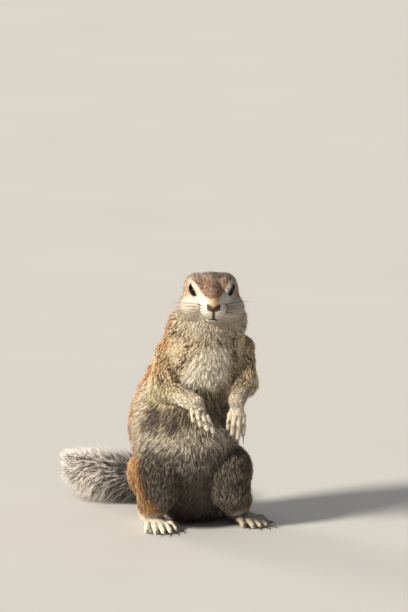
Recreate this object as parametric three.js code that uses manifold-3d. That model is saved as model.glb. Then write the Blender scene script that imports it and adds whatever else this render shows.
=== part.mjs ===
// A Cape ground squirrel (Xerus inauris) sitting upright on its haunches, life size, as a still model.
// Units are millimetres. +X is the viewer's right, -Y is the way the face looks, +Z is up.
// The floor is Z = 0. The solids reach out to the tips of the coat. Left and right are the animal's own.
import * as THREE from "three";
import { LoftGeometry } from "three/addons/geometries/LoftGeometry.js";
import { mergeVertices } from "three/addons/utils/BufferGeometryUtils.js";
import Module from "manifold-3d";

const wasm = await Module();
wasm.setup();

// ---------- driving dimensions ----------

const GAP = 0.3; // clear space between neighbouring solids
const BODY_TURN = THREE.MathUtils.degToRad(18); // the trunk faces this far to the viewer's right
const HEAD_TURN = THREE.MathUtils.degToRad(3); // and the head a little way the same way
const LIMB_SIDES = 9;
const DIGIT_SIDES = 6;
const CLAW_SIDES = 5;
const HEAD_BLEND = 4; // how softly the masses of the head run into one another

// The trunk and neck as level sections: height, centre x and y, half width,
// and the depth before and behind the centre.
const TRUNK = [
  { z: 6, x: -9, y: 30, half: 19, front: 11, back: 17 },
  { z: 20, x: -12, y: 21, half: 32, front: 22, back: 31 },
  { z: 38, x: -14.5, y: 13, half: 34, front: 31, back: 39 },
  { z: 60, x: -17, y: 9, half: 40, front: 40, back: 41 },
  { z: 81, x: -16.5, y: 8, half: 43, front: 38, back: 40.5 },
  { z: 96, x: -15, y: 7, half: 41, front: 34, back: 39.5 },
  { z: 110, x: -10.5, y: 5, half: 37.5, front: 30.5, back: 37.5 },
  { z: 124, x: -7, y: 4, half: 35, front: 28.5, back: 34.5 },
  { z: 137, x: -4, y: 2, half: 33, front: 26.5, back: 30.5 },
  { z: 149, x: -2, y: -1, half: 31, front: 24, back: 25 },
  { z: 160, x: -0.5, y: -4, half: 28.4, front: 20.5, back: 20 },
  { z: 172, x: 2, y: -7, half: 20, front: 13, back: 17 },
];
const TRUNK_END_ROUND = 10; // height of the rounding past the first and last section

const HEAD = { x: 2.2, y: -12, z: 177 }; // middle of the head, between and behind the eyes
const EYE = { side: 10.8, forward: 12.2, up: 7, radius: 5 };
const EAR = { side: 16.2, forward: -10.5, up: 4.2, radii: [2.2, 4.2, 5.2], lean: 0.15 };

const ARMS = {
  right: {
    shoulder: [-26, -3, 133], elbow: [-33, -21, 111], wrist: [-9, -39, 102],
    radii: [12.5, 9.4, 8.1, 5.9],
    knuckles: [[-11.2, -43, 97.5], [-7.6, -44.5, 96.2], [-4.0, -44.5, 94.6], [-0.8, -43.5, 92.8]],
    tips: [[-10.6, -45, 90.2], [-5.6, -46.5, 87.2], [-0.6, -46.5, 84.2], [3.6, -45, 82]],
  },
  left: {
    shoulder: [21.5, 10, 133], elbow: [26.5, 0, 110], wrist: [21, -31, 102],
    radii: [12.5, 8.8, 7.2, 5.4],
    knuckles: [[16, -35.5, 92.5], [19.2, -37, 91], [22.6, -37, 90.6], [25.6, -35.5, 92]],
    tips: [[14.4, -37, 83], [17.6, -39, 79.4], [21.6, -39, 76.4], [25.6, -37, 79]],
  },
};
const PALM = { half: 5.2, thick: 3.6 }; // half width and half thickness
const FINGER_RADII = [2.3, 2, 1.65];
const FINGER_CLAW = { length: 6, radius: 1.1, droop: 1.2 };

const LEGS = {
  right: {
    hip: [-37, 14, 40], knee: [-35, -11, 47], shin: [-35.5, -10, 33], ankle: [-40, 6, 19],
    heel: [-46, 32], toe: [-32.5, -19],
  },
  left: {
    hip: [10, 30, 38], knee: [13.5, -2, 46], shin: [15.5, 0, 31.5], ankle: [20, 18, 19],
    heel: [13, 47], toe: [38.5, 3],
  },
};
const HIP_RADIUS = 24.5;
const KNEE_RADIUS = 20;
const SHIN_RADIUS = 17;
const ANKLE_RADIUS = 13;
const LEG_BLEND = 6;
const LEG_CORE_HEIGHT = 34; // height of the middle of a folded leg
const FOOT = { heelHalf: 6.5, ballHalf: 9.6, rootSpread: 6.6, splay: 0.3, toeLength: 15 };
// The sole's middle line: share of the way from heel to toe, height and half thickness there.
const SOLE = [[0, 5, 5.5], [0.35, 5.3, 5.8], [0.72, 4, 4.6], [0.84, 3, 3.4]];
const OUTER_TOE_SET_BACK = 5.5; // how far behind the middle toe's root the outermost toes start
const NEXT_TOE_SET_BACK = 0.8; // and those beside the middle one
const TOE_RADII = [2.9, 2.6, 2];
const TOE_CLAW = { length: 8, radius: 1.3, droop: 1.4 };

// The tail lies on the floor, bends round to the animal's right and lifts at its end:
// axis x, y and height, half width, and the height of its top.
const TAIL = [
  { x: -12, y: 46, z: 12, half: 14, top: 26 },
  { x: -10, y: 62, z: 10, half: 18, top: 28 },
  { x: -13, y: 80, z: 8, half: 23, top: 32 },
  { x: -27, y: 97, z: 7, half: 28, top: 36 },
  { x: -48, y: 108, z: 7, half: 31, top: 39 },
  { x: -68, y: 112, z: 8, half: 33, top: 41 },
  { x: -86, y: 113, z: 13, half: 28, top: 40.5 },
  { x: -99, y: 112, z: 24, half: 18, top: 37 },
];

const TOE_HEIGHTS = [3.8, 5.2, 2.1]; // of the middle line of a toe: root, knuckle, tip

// Where the body is parted: planes as a point and a normal, heights, and places in the list TAIL.
const THROAT_CUT = { point: [2.2, -30, 157], normal: [0, -0.32, 1] }; // from under the chin up to the nape
const SHANK_CUT = { height: 27, normal: [0.1, 0.25, 1] };
const TRUNK_CUTS = { pelvis: 58, ribs: 106, collar: 148, flank: [-16, 14, 0] };
const TAIL_CUTS = [{ name: "tail_base", at: 2 }, { name: "tail_middle", at: 4 }];

const UP = new THREE.Vector3(0, 0, 1);
const ARM_UP = new THREE.Vector3(0, -1, 0.5); // the thin way through a hand
const CLAW_UP = new THREE.Vector3(0, -0.3, 1);

const COLOURS = {
  crown: "#8a5a3c", neck: "#9c855f", chest: "#b3a288", belly: "#b0a084", rump: "#b5763f",
  arm: "#a08c66", hand: "#d9cba8", thigh: "#a3906d", shank: "#b38a55", foot: "#d8cdb4",
  tail: "#a39c92", tailTip: "#d4d0c8", horn: "#3a2f26", eye: "#0a0807", ear: "#b08a62",
};

// ---------- distance fields: each gives a signed distance, negative inside ----------

const smoothMin = (a, b, blend) => {
  const near = Math.max(blend - Math.abs(a - b), 0) / blend;
  return Math.min(a, b) - (near * near * blend) / 4;
};

// An ellipsoid, turned about the vertical.
function egg([cx, cy, cz], [rx, ry, rz], turn = 0) {
  const cos = Math.cos(turn), sin = Math.sin(turn);
  return (x, y, z) => {
    const dx = x - cx, dy = y - cy;
    const u = dx * cos + dy * sin, v = dy * cos - dx * sin, w = z - cz;
    const size = Math.hypot(u / rx, v / ry, w / rz);
    const slope = Math.hypot(u / rx ** 2, v / ry ** 2, w / rz ** 2);
    return slope < 1e-9 ? -Math.min(rx, ry, rz) : (size * (size - 1)) / slope;
  };
}

// A cone with a ball at each end.
function roundCone([ax, ay, az], ra, [bx, by, bz], rb) {
  const ux = bx - ax, uy = by - ay, uz = bz - az;
  const length2 = ux * ux + uy * uy + uz * uz;
  const taper = ra - rb;
  const side2 = length2 - taper * taper;
  return (x, y, z) => {
    const px = x - ax, py = y - ay, pz = z - az;
    const along = px * ux + py * uy + pz * uz;
    const past = along - length2;
    const qx = px * length2 - ux * along, qy = py * length2 - uy * along, qz = pz * length2 - uz * along;
    const off2 = qx * qx + qy * qy + qz * qz;
    const limit = Math.sign(taper) * taper * taper * off2;
    if (Math.sign(past) * side2 * past * past * length2 > limit)
      return Math.sqrt(off2 + past * past * length2) / length2 - rb;
    if (Math.sign(along) * side2 * along * along * length2 < limit)
      return Math.sqrt(off2 + along * along * length2) / length2 - ra;
    return (Math.sqrt((off2 * side2) / length2) + along * taper) / length2 - ra;
  };
}

function blend(fields, amount) {
  return (x, y, z) => fields.reduce((far, field) => smoothMin(far, field(x, y, z), amount), 1e3);
}

// Catmull-Rom value of one quantity of the trunk's sections at a height.
function trunkValue(key, z) {
  const last = TRUNK.length - 1;
  let i = 0;
  while (i < last - 1 && z > TRUNK[i + 1].z) i++;
  const sectionAt = (n) => TRUNK[THREE.MathUtils.clamp(n, 0, last)];
  const [before, low, high, after] = [i - 1, i, i + 1, i + 2].map(sectionAt);
  const t = THREE.MathUtils.clamp((z - low.z) / (high.z - low.z), 0, 1);
  const span = high.z - low.z;
  const rise = high[key] - low[key];
  const slopeLow = low === before ? rise : ((high[key] - before[key]) / (high.z - before.z)) * span;
  const slopeHigh = high === after ? rise : ((after[key] - low[key]) / (after.z - low.z)) * span;
  const bend = slopeLow + slopeHigh - 2 * rise;
  return low[key] + t * (slopeLow + t * (3 * rise - 2 * slopeLow - slopeHigh + t * bend));
}

function trunkField(x, y, z) {
  const level = THREE.MathUtils.clamp(z, TRUNK[0].z, TRUNK.at(-1).z);
  const dx = x - trunkValue("x", level), dy = y - trunkValue("y", level);
  const left = dx * Math.cos(BODY_TURN) + dy * Math.sin(BODY_TURN);
  const forward = dx * Math.sin(BODY_TURN) - dy * Math.cos(BODY_TURN);
  const depth = trunkValue(forward > 0 ? "front" : "back", level);
  const size = Math.hypot(left / trunkValue("half", level), forward / depth, (z - level) / TRUNK_END_ROUND);
  const reach = Math.hypot(left, forward, z - level);
  return size < 1e-6 ? -depth : reach * (1 - 1 / size);
}

// ---------- meshes from fields and curves ----------

const solidOf = (geometry) => {
  const bare = new THREE.BufferGeometry().setIndex(geometry.index);
  bare.setAttribute("position", geometry.getAttribute("position"));
  const merged = mergeVertices(bare, 1e-4);
  return new wasm.Manifold(
    new wasm.Mesh({
      numProp: 3,
      vertProperties: new Float32Array(merged.attributes.position.array),
      triVerts: new Uint32Array(merged.index.array),
    }),
  );
};

const joined = (solids) => solids.reduce((whole, solid) => whole.add(solid));

const LOFT_ENDS = { closed: true, capStart: true, capEnd: true };
const loft = (sections) => solidOf(new LoftGeometry(sections, LOFT_ENDS));

// Two directions square to a tangent, [across, thick]: the second as close to `up` as it can be.
function frameAlong(tangent, up) {
  const thick = up.clone().addScaledVector(tangent, -up.dot(tangent)).normalize();
  return [thick.clone().cross(tangent), thick];
}

// How far from a centre, along a direction, a field first passes a level.
function reach(field, centre, direction, level) {
  const at = (s) => {
    const point = centre.clone().addScaledVector(direction, s);
    return field(point.x, point.y, point.z) - level;
  };
  let outer = 1;
  while (at(outer) < 0) outer += 1;
  let inner = outer - 1;
  for (let halving = 0; halving < 12; halving++) {
    const middle = (inner + outer) / 2;
    if (at(middle) < 0) inner = middle;
    else outer = middle;
  }
  return outer;
}

// A closed skin over a field, seen from an axis inside it: rings along the axis,
// and tilted rings at its ends.
function wrap(field, axisPoints, { rings, sides, up, level = 0, endTilts }) {
  const axis = new THREE.CatmullRomCurve3(axisPoints.map((p) => new THREE.Vector3(...p)));
  const stations = [
    ...endTilts.toReversed().map((tilt) => [0, -tilt]),
    ...Array.from({ length: rings }, (_, i) => [i / (rings - 1), 0]),
    ...endTilts.map((tilt) => [1, tilt]),
  ];
  const sections = stations.map(([t, tiltDegrees]) => {
    const centre = axis.getPoint(t);
    const tangent = axis.getTangent(t);
    const [u, v] = frameAlong(tangent, up);
    const tilt = THREE.MathUtils.degToRad(tiltDegrees);
    return Array.from({ length: sides }, (_, i) => {
      const angle = (2 * Math.PI * i) / sides;
      const direction = u.clone().multiplyScalar(Math.cos(angle)).addScaledVector(v, Math.sin(angle));
      direction.multiplyScalar(Math.cos(tilt)).addScaledVector(tangent, Math.sin(tilt));
      return direction.clone().multiplyScalar(reach(field, centre, direction, level)).add(centre);
    });
  });
  return loft(sections);
}

// A round-ended tube through points, with a half width and a half thickness at each of them.
function tube(points, widths, { thicks = widths, sides, up, rings, endTurns = [65, 30], grow = 0 }) {
  const curve = new THREE.CatmullRomCurve3(points.map((p) => new THREE.Vector3(...p)), false, "centripetal");
  const valueAt = (list, t) => {
    const place = t * (list.length - 1), i = Math.min(Math.floor(place), list.length - 2);
    return THREE.MathUtils.lerp(list[i], list[i + 1], place - i) + grow;
  };
  const turns = endTurns.map(THREE.MathUtils.degToRad);
  const stations = [
    ...turns.map((turn) => [0, -turn]),
    ...Array.from({ length: rings }, (_, i) => [i / (rings - 1), 0]),
    ...turns.toReversed().map((turn) => [1, turn]),
  ];
  const sections = stations.map(([t, turn]) => {
    const tangent = curve.getTangent(t);
    const [u, v] = frameAlong(tangent, up);
    const wide = valueAt(widths, t), thick = valueAt(thicks, t);
    const centre = curve.getPoint(t).addScaledVector(tangent, Math.sin(turn) * Math.min(wide, thick));
    return Array.from({ length: sides }, (_, i) => {
      const angle = (2 * Math.PI * i) / sides;
      return centre.clone()
        .addScaledVector(u, Math.cos(angle) * wide * Math.cos(turn))
        .addScaledVector(v, Math.sin(angle) * thick * Math.cos(turn));
    });
  });
  return loft(sections);
}

// A claw: a tapering horn that bends down towards its point.
function claw(start, direction, { length, radius, droop }) {
  const bend = [[0, 0], [0.55, droop * 0.25], [1, droop]];
  const points = bend.map(([share, sag]) =>
    start.clone().addScaledVector(direction, length * share).addScaledVector(UP, -sag).toArray(),
  );
  const radii = [radius, radius * 0.8, radius * 0.3];
  return tube(points, radii, { sides: CLAW_SIDES, up: CLAW_UP, rings: 3, endTurns: [] });
}

// The two sides of a solid cut by a thin saw: [the side the normal points to, the other side].
function sawn(solid, point, normal) {
  const n = new THREE.Vector3(...normal).normalize();
  const offset = n.dot(new THREE.Vector3(...point));
  const far = solid.trimByPlane(n.toArray(), offset + GAP / 2);
  const near = solid.trimByPlane(n.clone().negate().toArray(), -offset + GAP / 2);
  return [far, near];
}

const aboveFloor = (solid) => solid.trimByPlane([0, 0, 1], 0);

// The largest body of a cut solid: a saw cut can leave crumbs beside it.
const mainBody = (solid) => solid.decompose().sort((a, b) => b.volume() - a.volume())[0];

const vector = (point) => new THREE.Vector3(...point);
const between = (from, to, share) => vector(from).lerp(vector(to), share).toArray();
const heading = (turn) => new THREE.Vector3(Math.sin(turn), -Math.cos(turn), 0);

// ---------- the scene graph ----------

const squirrel = new THREE.Group();
squirrel.name = "squirrel";

function place(name, solid, color, roughness = 0.95) {
  const { vertProperties, triVerts } = mainBody(solid).getMesh();
  const geometry = new THREE.BufferGeometry();
  geometry.setAttribute("position", new THREE.BufferAttribute(vertProperties, 3));
  geometry.setIndex(new THREE.BufferAttribute(triVerts, 1));
  geometry.computeVertexNormals();
  const mesh = new THREE.Mesh(geometry, new THREE.MeshStandardMaterial({ color, roughness, metalness: 0 }));
  mesh.name = name;
  squirrel.add(mesh);
}

// ---------- head ----------

const SIDES = { left: 1, right: -1 }; // sign of the sideways place on the head

function onHead(side, forward, up) {
  const cos = Math.cos(HEAD_TURN), sin = Math.sin(HEAD_TURN);
  return [HEAD.x + side * cos + forward * sin, HEAD.y + side * sin - forward * cos, HEAD.z + up];
}

function headField() {
  const masses = [
    egg(onHead(0, -3, 1.2), [18.4, 21.5, 15.5], HEAD_TURN), // skull
    roundCone(onHead(0, 9, 4.8), 10.5, onHead(0, 32, -1), 5.6), // bridge of the nose
    roundCone(onHead(0, 9, -5), 13, onHead(0, 30, -5.2), 6.4), // muzzle
    roundCone(onHead(0, 0, -13), 10, onHead(0, 28.5, -10.8), 4.5), // lower jaw
    roundCone(onHead(0, 31, -1.8), 4, onHead(0, 35, -1.3), 2.9), // nose
    egg(onHead(-1.4, -7, -20), [26.6, 19.5, 17], HEAD_TURN), // throat and nape, which the neck carries on
  ];
  for (const sign of Object.values(SIDES)) {
    masses.push(
      roundCone(onHead(sign * 10.8, 8.5, 7.9), 7, onHead(sign * 11.2, -7, 7.6), 7.8), // brow
      roundCone(onHead(sign * 7.8, 15.5, 2.5), 5.2, onHead(sign * 4.5, 25, -1.5), 4.5), // eye's corner
      egg(onHead(sign * 11.5, -3, 1), [8.6, 9.5, 11], HEAD_TURN), // temple
      egg(onHead(sign * 13.2, 2.5, -9), [11.8, 14, 11], HEAD_TURN), // cheek
      egg(onHead(sign * 4.6, 28.5, -6.2), [5.2, 7, 5.2], HEAD_TURN), // whisker pad
    );
  }
  return blend(masses, HEAD_BLEND);
}

function buildHead() {
  const field = headField();
  const axis = [onHead(0, -12, -3), onHead(0, 8, -3), onHead(0, 29, -4)];
  const detail = { rings: 12, sides: 24, up: UP, endTilts: [25, 50, 74] };
  const wrapHead = (level) => wrap(field, axis, { ...detail, level });
  const outer = wrapHead(GAP);
  let [head] = sawn(wrapHead(0), THROAT_CUT.point, THROAT_CUT.normal);
  for (const [side, sign] of Object.entries(SIDES)) {
    const centre = onHead(sign * EYE.side, EYE.forward, EYE.up);
    const ball = (radius) => solidOf(new THREE.SphereGeometry(radius, 11, 7).translate(...centre));
    head = head.subtract(ball(EYE.radius + GAP));
    place(`eye_${side}`, ball(EYE.radius), COLOURS.eye, 0.08);

    const flap = new THREE.SphereGeometry(1, 10, 6).scale(...EAR.radii).rotateY(sign * EAR.lean);
    flap.translate(...onHead(sign * EAR.side, EAR.forward, EAR.up));
    place(`ear_${side}`, solidOf(flap).subtract(outer), COLOURS.ear);
  }
  place("head", head, COLOURS.crown);
}

// ---------- arms and hands ----------

function upperArm({ shoulder, elbow, radii }, grow = 0) {
  const points = [shoulder, between(shoulder, elbow, 0.5), elbow];
  const widths = [radii[0], (radii[0] + radii[1]) / 2, radii[1]];
  return tube(points, widths, { sides: LIMB_SIDES, up: ARM_UP, rings: 4, grow });
}

function lowerArm({ elbow, wrist, knuckles, radii }, grow = 0) {
  const palm = between(knuckles[1], knuckles[2], 0.5);
  const widths = [radii[1] * 0.9, radii[2], radii[3], PALM.half];
  return tube([elbow, between(elbow, wrist, 0.5), wrist, palm], widths,
    { thicks: [...widths.slice(0, 3), PALM.thick], sides: LIMB_SIDES, up: ARM_UP, rings: 8, grow });
}

function buildArm(side, arm) {
  const rest = lowerArm(arm).subtract(upperArm(arm, GAP));
  const fingers = arm.knuckles.map((knuckle, i) =>
    tube([between(knuckle, arm.wrist, 0.25), knuckle, arm.tips[i]], FINGER_RADII,
      { sides: DIGIT_SIDES, up: ARM_UP, rings: 3, endTurns: [45] }),
  );
  const wristCut = [arm.wrist, vector(arm.knuckles[1]).sub(vector(arm.elbow)).toArray()];
  place(`upper_arm_${side}`, upperArm(arm), COLOURS.arm);
  place(`forearm_${side}`, sawn(rest, ...wristCut)[1], COLOURS.arm);
  place(`hand_${side}`, sawn(joined([rest, ...fingers]), ...wristCut)[0], COLOURS.hand);
  arm.tips.forEach((tip, i) => {
    const direction = vector(tip).sub(vector(arm.knuckles[i])).normalize();
    const start = vector(tip).addScaledVector(direction, FINGER_RADII.at(-1) + GAP);
    place(`hand_${side}_claw_${i + 1}`, claw(start, direction, FINGER_CLAW), COLOURS.horn, 0.4);
  });
}

// ---------- hind legs and feet ----------

function legField({ hip, knee, shin, ankle }) {
  const thigh = roundCone(hip, HIP_RADIUS, knee, KNEE_RADIUS);
  const shank = roundCone(shin, SHIN_RADIUS, ankle, ANKLE_RADIUS);
  return blend([thigh, shank], LEG_BLEND);
}

// The rings go round an axis from side to side, so that the trunk's cut follows one of them.
function legSolid(leg, level = 0) {
  const sideways = new THREE.Vector3(Math.cos(BODY_TURN), Math.sin(BODY_TURN), 0);
  const core = vector(between(leg.hip, leg.knee, 0.5)).setZ(LEG_CORE_HEIGHT);
  const axis = [-8, 0, 8].map((side) => core.clone().addScaledVector(sideways, side).toArray());
  return wrap(legField(leg), axis, { rings: 4, sides: 18, up: UP, level, endTilts: [25, 48, 72] });
}

function footFrame({ heel, toe }) {
  const forward = new THREE.Vector3(toe[0] - heel[0], toe[1] - heel[1], 0).normalize();
  return { forward, across: new THREE.Vector3(-forward.y, forward.x, 0) };
}

function footSolid({ heel, toe }, grow = 0) {
  const points = SOLE.map(([share, height]) => between([...heel, height], [...toe, height], share));
  const widths = [FOOT.heelHalf, FOOT.heelHalf, FOOT.ballHalf, FOOT.ballHalf - 1.5];
  const thicks = SOLE.map(([, , thick]) => thick);
  return tube(points, widths, { thicks, sides: LIMB_SIDES, up: UP, rings: 4, grow });
}

function buildFoot(side, leg) {
  const { forward, across } = footFrame(leg);
  const ball = new THREE.Vector3(...leg.toe, 0).addScaledVector(forward, -FOOT.toeLength);
  let foot = footSolid(leg);
  for (let i = 0; i < 5; i++) {
    const spread = (i - 2) / 2; // -1 for one outer toe, 1 for the other
    const setBack = Math.abs(spread) === 1 ? OUTER_TOE_SET_BACK : Math.abs(spread) * 2 * NEXT_TOE_SET_BACK;
    const direction = forward.clone().addScaledVector(across, spread * FOOT.splay).normalize();
    const root = ball.clone().addScaledVector(across, spread * FOOT.rootSpread);
    root.addScaledVector(forward, -setBack);
    const at = (share, height) =>
      root.clone().addScaledVector(direction, FOOT.toeLength * share).setZ(height);
    const tip = at(1, TOE_HEIGHTS[2]);
    const points = [at(-0.1, TOE_HEIGHTS[0]), at(0.5, TOE_HEIGHTS[1]), tip].map((point) => point.toArray());
    foot = foot.add(tube(points, TOE_RADII, { sides: DIGIT_SIDES, up: UP, rings: 3, endTurns: [45] }));
    const start = tip.addScaledVector(direction, TOE_RADII.at(-1) + GAP).setZ(TOE_HEIGHTS[2] + 0.4);
    const horn = claw(start, direction, { ...TOE_CLAW, length: TOE_CLAW.length - 2 * Math.abs(spread) });
    place(`foot_${side}_claw_${i + 1}`, horn, COLOURS.horn, 0.4);
  }
  place(`foot_${side}`, aboveFloor(foot), COLOURS.foot);
}

function buildLeg(side, leg) {
  const whole = aboveFloor(legSolid(leg).subtract(footSolid(leg, GAP)));
  const [thigh, shank] = sawn(whole, [...leg.knee.slice(0, 2), SHANK_CUT.height], SHANK_CUT.normal);
  place(`thigh_${side}`, thigh, COLOURS.thigh);
  place(`shank_${side}`, shank, COLOURS.shank);
  buildFoot(side, leg);
}

// ---------- tail ----------

function tailSolid(grow = 0) {
  const points = TAIL.map(({ x, y, z }) => [x, y, z]);
  const thicks = TAIL.map(({ z, top }) => top - z);
  return tube(points, TAIL.map((s) => s.half),
    { thicks, sides: 12, up: UP, rings: 11, endTurns: [65, 35], grow });
}

function buildTail() {
  let rest = aboveFloor(tailSolid());
  for (const { name, at } of TAIL_CUTS) {
    const [before, here, after] = [TAIL[at - 1], TAIL[at], TAIL[at + 1]];
    const [beyond, kept] = sawn(rest, [here.x, here.y, 0], [after.x - before.x, after.y - before.y, 0]);
    place(name, kept, COLOURS.tail);
    rest = beyond;
  }
  place("tail_tip", rest, COLOURS.tailTip);
}

// ---------- trunk ----------

function trunkSolid() {
  const axis = [10, 40, 80, 120, 150, 168].map((z) => [trunkValue("x", z), trunkValue("y", z), z]);
  let trunk = wrap(trunkField, axis, { rings: 13, sides: 24, up: heading(BODY_TURN), endTilts: [30, 62] });
  for (const side of Object.keys(SIDES)) {
    const arm = [upperArm(ARMS[side], GAP), lowerArm(ARMS[side], GAP)];
    const leg = [legSolid(LEGS[side], GAP), footSolid(LEGS[side], GAP)];
    for (const limb of [...arm, ...leg]) trunk = trunk.subtract(limb);
  }
  return aboveFloor(trunk.subtract(tailSolid(GAP)));
}

function buildTrunk() {
  const [upper, pelvis] = sawn(trunkSolid(), [0, 0, TRUNK_CUTS.pelvis], [0, 0, 1]);
  const [lowerBelly, rump] = sawn(pelvis, TRUNK_CUTS.flank, heading(BODY_TURN).toArray());
  const [breast, belly] = sawn(upper, [0, 0, TRUNK_CUTS.ribs], [0, 0, 1]);
  const [throat, chest] = sawn(breast, [0, 0, TRUNK_CUTS.collar], [0, 0, 1]);
  const [, neck] = sawn(throat, THROAT_CUT.point, THROAT_CUT.normal);
  place("rump", rump, COLOURS.rump);
  place("lower_belly", lowerBelly, COLOURS.belly);
  place("belly", belly, COLOURS.belly);
  place("chest", chest, COLOURS.chest);
  place("neck", neck, COLOURS.neck);
}

buildHead();
for (const side of Object.keys(SIDES)) {
  buildArm(side, ARMS[side]);
  buildLeg(side, LEGS[side]);
}
buildTail();
buildTrunk();

// The origin is the middle of the underside of the bounding box.
const box = new THREE.Box3().setFromObject(squirrel);
const middle = box.getCenter(new THREE.Vector3());
squirrel.position.set(-middle.x, -middle.y, -box.min.z);

export default squirrel;
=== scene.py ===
"""A Cape ground squirrel (Xerus inauris) sitting upright, life size: skin, coat, eyes, horn and whiskers.

The landmarks are in millimetres in the design frame of the CAD part: +X to the viewer's right, -Y the way the
face looks, +Z up. `SHIFT` takes that frame to the row's. Left and right are the animal's own.
"""
import math

import bpy
import numpy as np
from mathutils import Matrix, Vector


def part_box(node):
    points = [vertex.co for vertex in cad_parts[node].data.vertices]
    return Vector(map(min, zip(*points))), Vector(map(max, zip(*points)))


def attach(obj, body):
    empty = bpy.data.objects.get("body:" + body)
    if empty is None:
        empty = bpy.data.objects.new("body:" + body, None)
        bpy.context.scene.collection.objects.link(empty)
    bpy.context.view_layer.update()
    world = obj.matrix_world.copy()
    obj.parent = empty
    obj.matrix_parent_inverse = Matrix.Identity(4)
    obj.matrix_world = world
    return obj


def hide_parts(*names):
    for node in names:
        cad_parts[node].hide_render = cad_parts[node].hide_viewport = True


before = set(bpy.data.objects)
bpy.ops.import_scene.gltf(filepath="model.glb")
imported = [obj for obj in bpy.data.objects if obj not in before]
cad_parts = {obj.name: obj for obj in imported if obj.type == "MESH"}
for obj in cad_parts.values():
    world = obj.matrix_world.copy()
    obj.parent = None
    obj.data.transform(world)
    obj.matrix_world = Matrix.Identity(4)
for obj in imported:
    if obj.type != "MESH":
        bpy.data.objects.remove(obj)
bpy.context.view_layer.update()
rng = np.random.default_rng(7)
MM = 0.001

# ---------- landmarks ----------

BODY_TURN = math.radians(18)
HEAD_TURN = math.radians(3)
SIDES = {"left": 1, "right": -1}

# The trunk's level sections: height, centre x and y, half width, depth before and behind the centre.
TRUNK = np.array([
    (6, -9, 30, 19, 11, 17), (20, -12, 21, 32, 22, 31), (38, -14.5, 13, 34, 31, 39), (60, -17, 9, 40, 40, 41),
    (81, -16.5, 8, 43, 38, 40.5), (96, -15, 7, 41, 34, 39.5), (110, -10.5, 5, 37.5, 30.5, 37.5),
    (124, -7, 4, 35, 28.5, 34.5), (137, -4, 2, 33, 26.5, 30.5), (149, -2, -1, 31, 24, 25),
    (160, -0.5, -4, 28.4, 20.5, 20), (172, 2, -7, 20, 13, 17)], float)
TRUNK_END_ROUND = 10

HEAD = np.array((2.2, -12, 177.0))
EYE = {"place": (10.8, 12.2, 7.0), "radius": 5.0}
EAR = (16.2, -10.5, 4.2)
GAZE = (0.76, 0.65, -0.02)  # where the left eye's opening faces: side, forward, up
LID_THICK = 0.8
# The lids' opening: its top, outer and inner corner, each as forward and up from the eye's middle, and how
# far the side after each corner bulges.
LID_CORNERS = ((-2.5, 4.5), (-4.9, -3.9), (4.5, -3.7))
LID_BULGES = (1.0, 0.9, 1.0)
LID_ROUND = 0.6

ARMS = {
    "right": {
        "bones": [(-26, -3, 133), (-33, -21, 111), (-9, -39, 102)], "radii": [12.5, 9.4, 5.9],
        "knuckles": [(-11.2, -43, 97.5), (-7.6, -44.5, 96.2), (-4, -44.5, 94.6), (-0.8, -43.5, 92.8)],
        "tips": [(-10.6, -45, 90.2), (-5.6, -46.5, 87.2), (-0.6, -46.5, 84.2), (3.6, -45, 82)]},
    "left": {
        "bones": [(21.5, 10, 133), (26.5, 0, 110), (21, -31, 102)], "radii": [12.5, 8.8, 5.4],
        "knuckles": [(16, -35.5, 92.5), (19.2, -37, 91), (22.6, -37, 90.6), (25.6, -35.5, 92)],
        "tips": [(14.4, -37, 83), (17.6, -39, 79.4), (21.6, -39, 76.4), (25.6, -37, 79)]},
}
LEGS = {
    "right": {"hip": (-37, 14, 40), "knee": (-35, -11, 47), "shin": (-35.5, -10, 33), "ankle": (-40, 6, 19),
              "heel": (-46, 32), "toe": (-32.5, -19)},
    "left": {"hip": (10, 30, 38), "knee": (13.5, -2, 46), "shin": (15.5, 0, 31.5), "ankle": (20, 18, 19),
             "heel": (13, 47), "toe": (38.5, 3)},
}
LEG_RADII = {"hip": 24.5, "knee": 20, "shin": 17, "ankle": 13}
FOOT = {"heel_half": 6.5, "ball_half": 9.6, "root_spread": 6.6, "splay": 0.3, "toe_length": 15}
TOE_HEIGHTS = (3.6, 4.9, 2.0)
SOLE_LINE = ((0, 5), (0.35, 5.2), (0.66, 3.9))  # shares of the way from heel to toe, and heights

for limb in (*ARMS.values(), *LEGS.values()):
    limb.update({joint: np.array(places, float) for joint, places in limb.items()})

# The tail: axis x, y and height, how far its hair reaches to the side, and the height of its top.
TAIL = np.array([
    (-12, 46, 12, 14, 26), (-10, 62, 10, 18, 28), (-13, 80, 8, 23, 32), (-27, 97, 7, 28, 36),
    (-48, 108, 7, 31, 39), (-68, 112, 8, 33, 41), (-86, 113, 13, 28, 40.5), (-99, 112, 24, 18, 37)], float)
TAIL_CORE = {"root_height": 13, "tip_height": 24, "root": 6.8, "tip": 2.6}

# ---------- distance fields, in millimetres: each takes points (n, 3) and gives n distances ----------


def smooth_min(a, b, k):
    near = np.maximum(k - np.abs(a - b), 0) / k
    return np.minimum(a, b) - near * near * k / 4


def smooth_max(a, b, k):
    return -smooth_min(-a, -b, k)


def unit(v):
    v = np.asarray(v, float)
    return v / np.maximum(np.linalg.norm(v, axis=-1, keepdims=True), 1e-9)


def smooth_step(low, high, x):
    t = np.clip((x - low) / (high - low), 0, 1)
    return t * t * (3 - 2 * t)


def egg(p, centre, radii, turn=0.0):
    d = p - np.asarray(centre, float)
    cos, sin = math.cos(turn), math.sin(turn)
    u, v = d[:, 0] * cos + d[:, 1] * sin, d[:, 1] * cos - d[:, 0] * sin
    q = np.stack([u, v, d[:, 2]], 1) / np.asarray(radii, float)
    size = np.linalg.norm(q, axis=1)
    slope = np.linalg.norm(q / np.asarray(radii, float), axis=1)
    return size * (size - 1) / np.maximum(slope, 1e-6)


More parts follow.
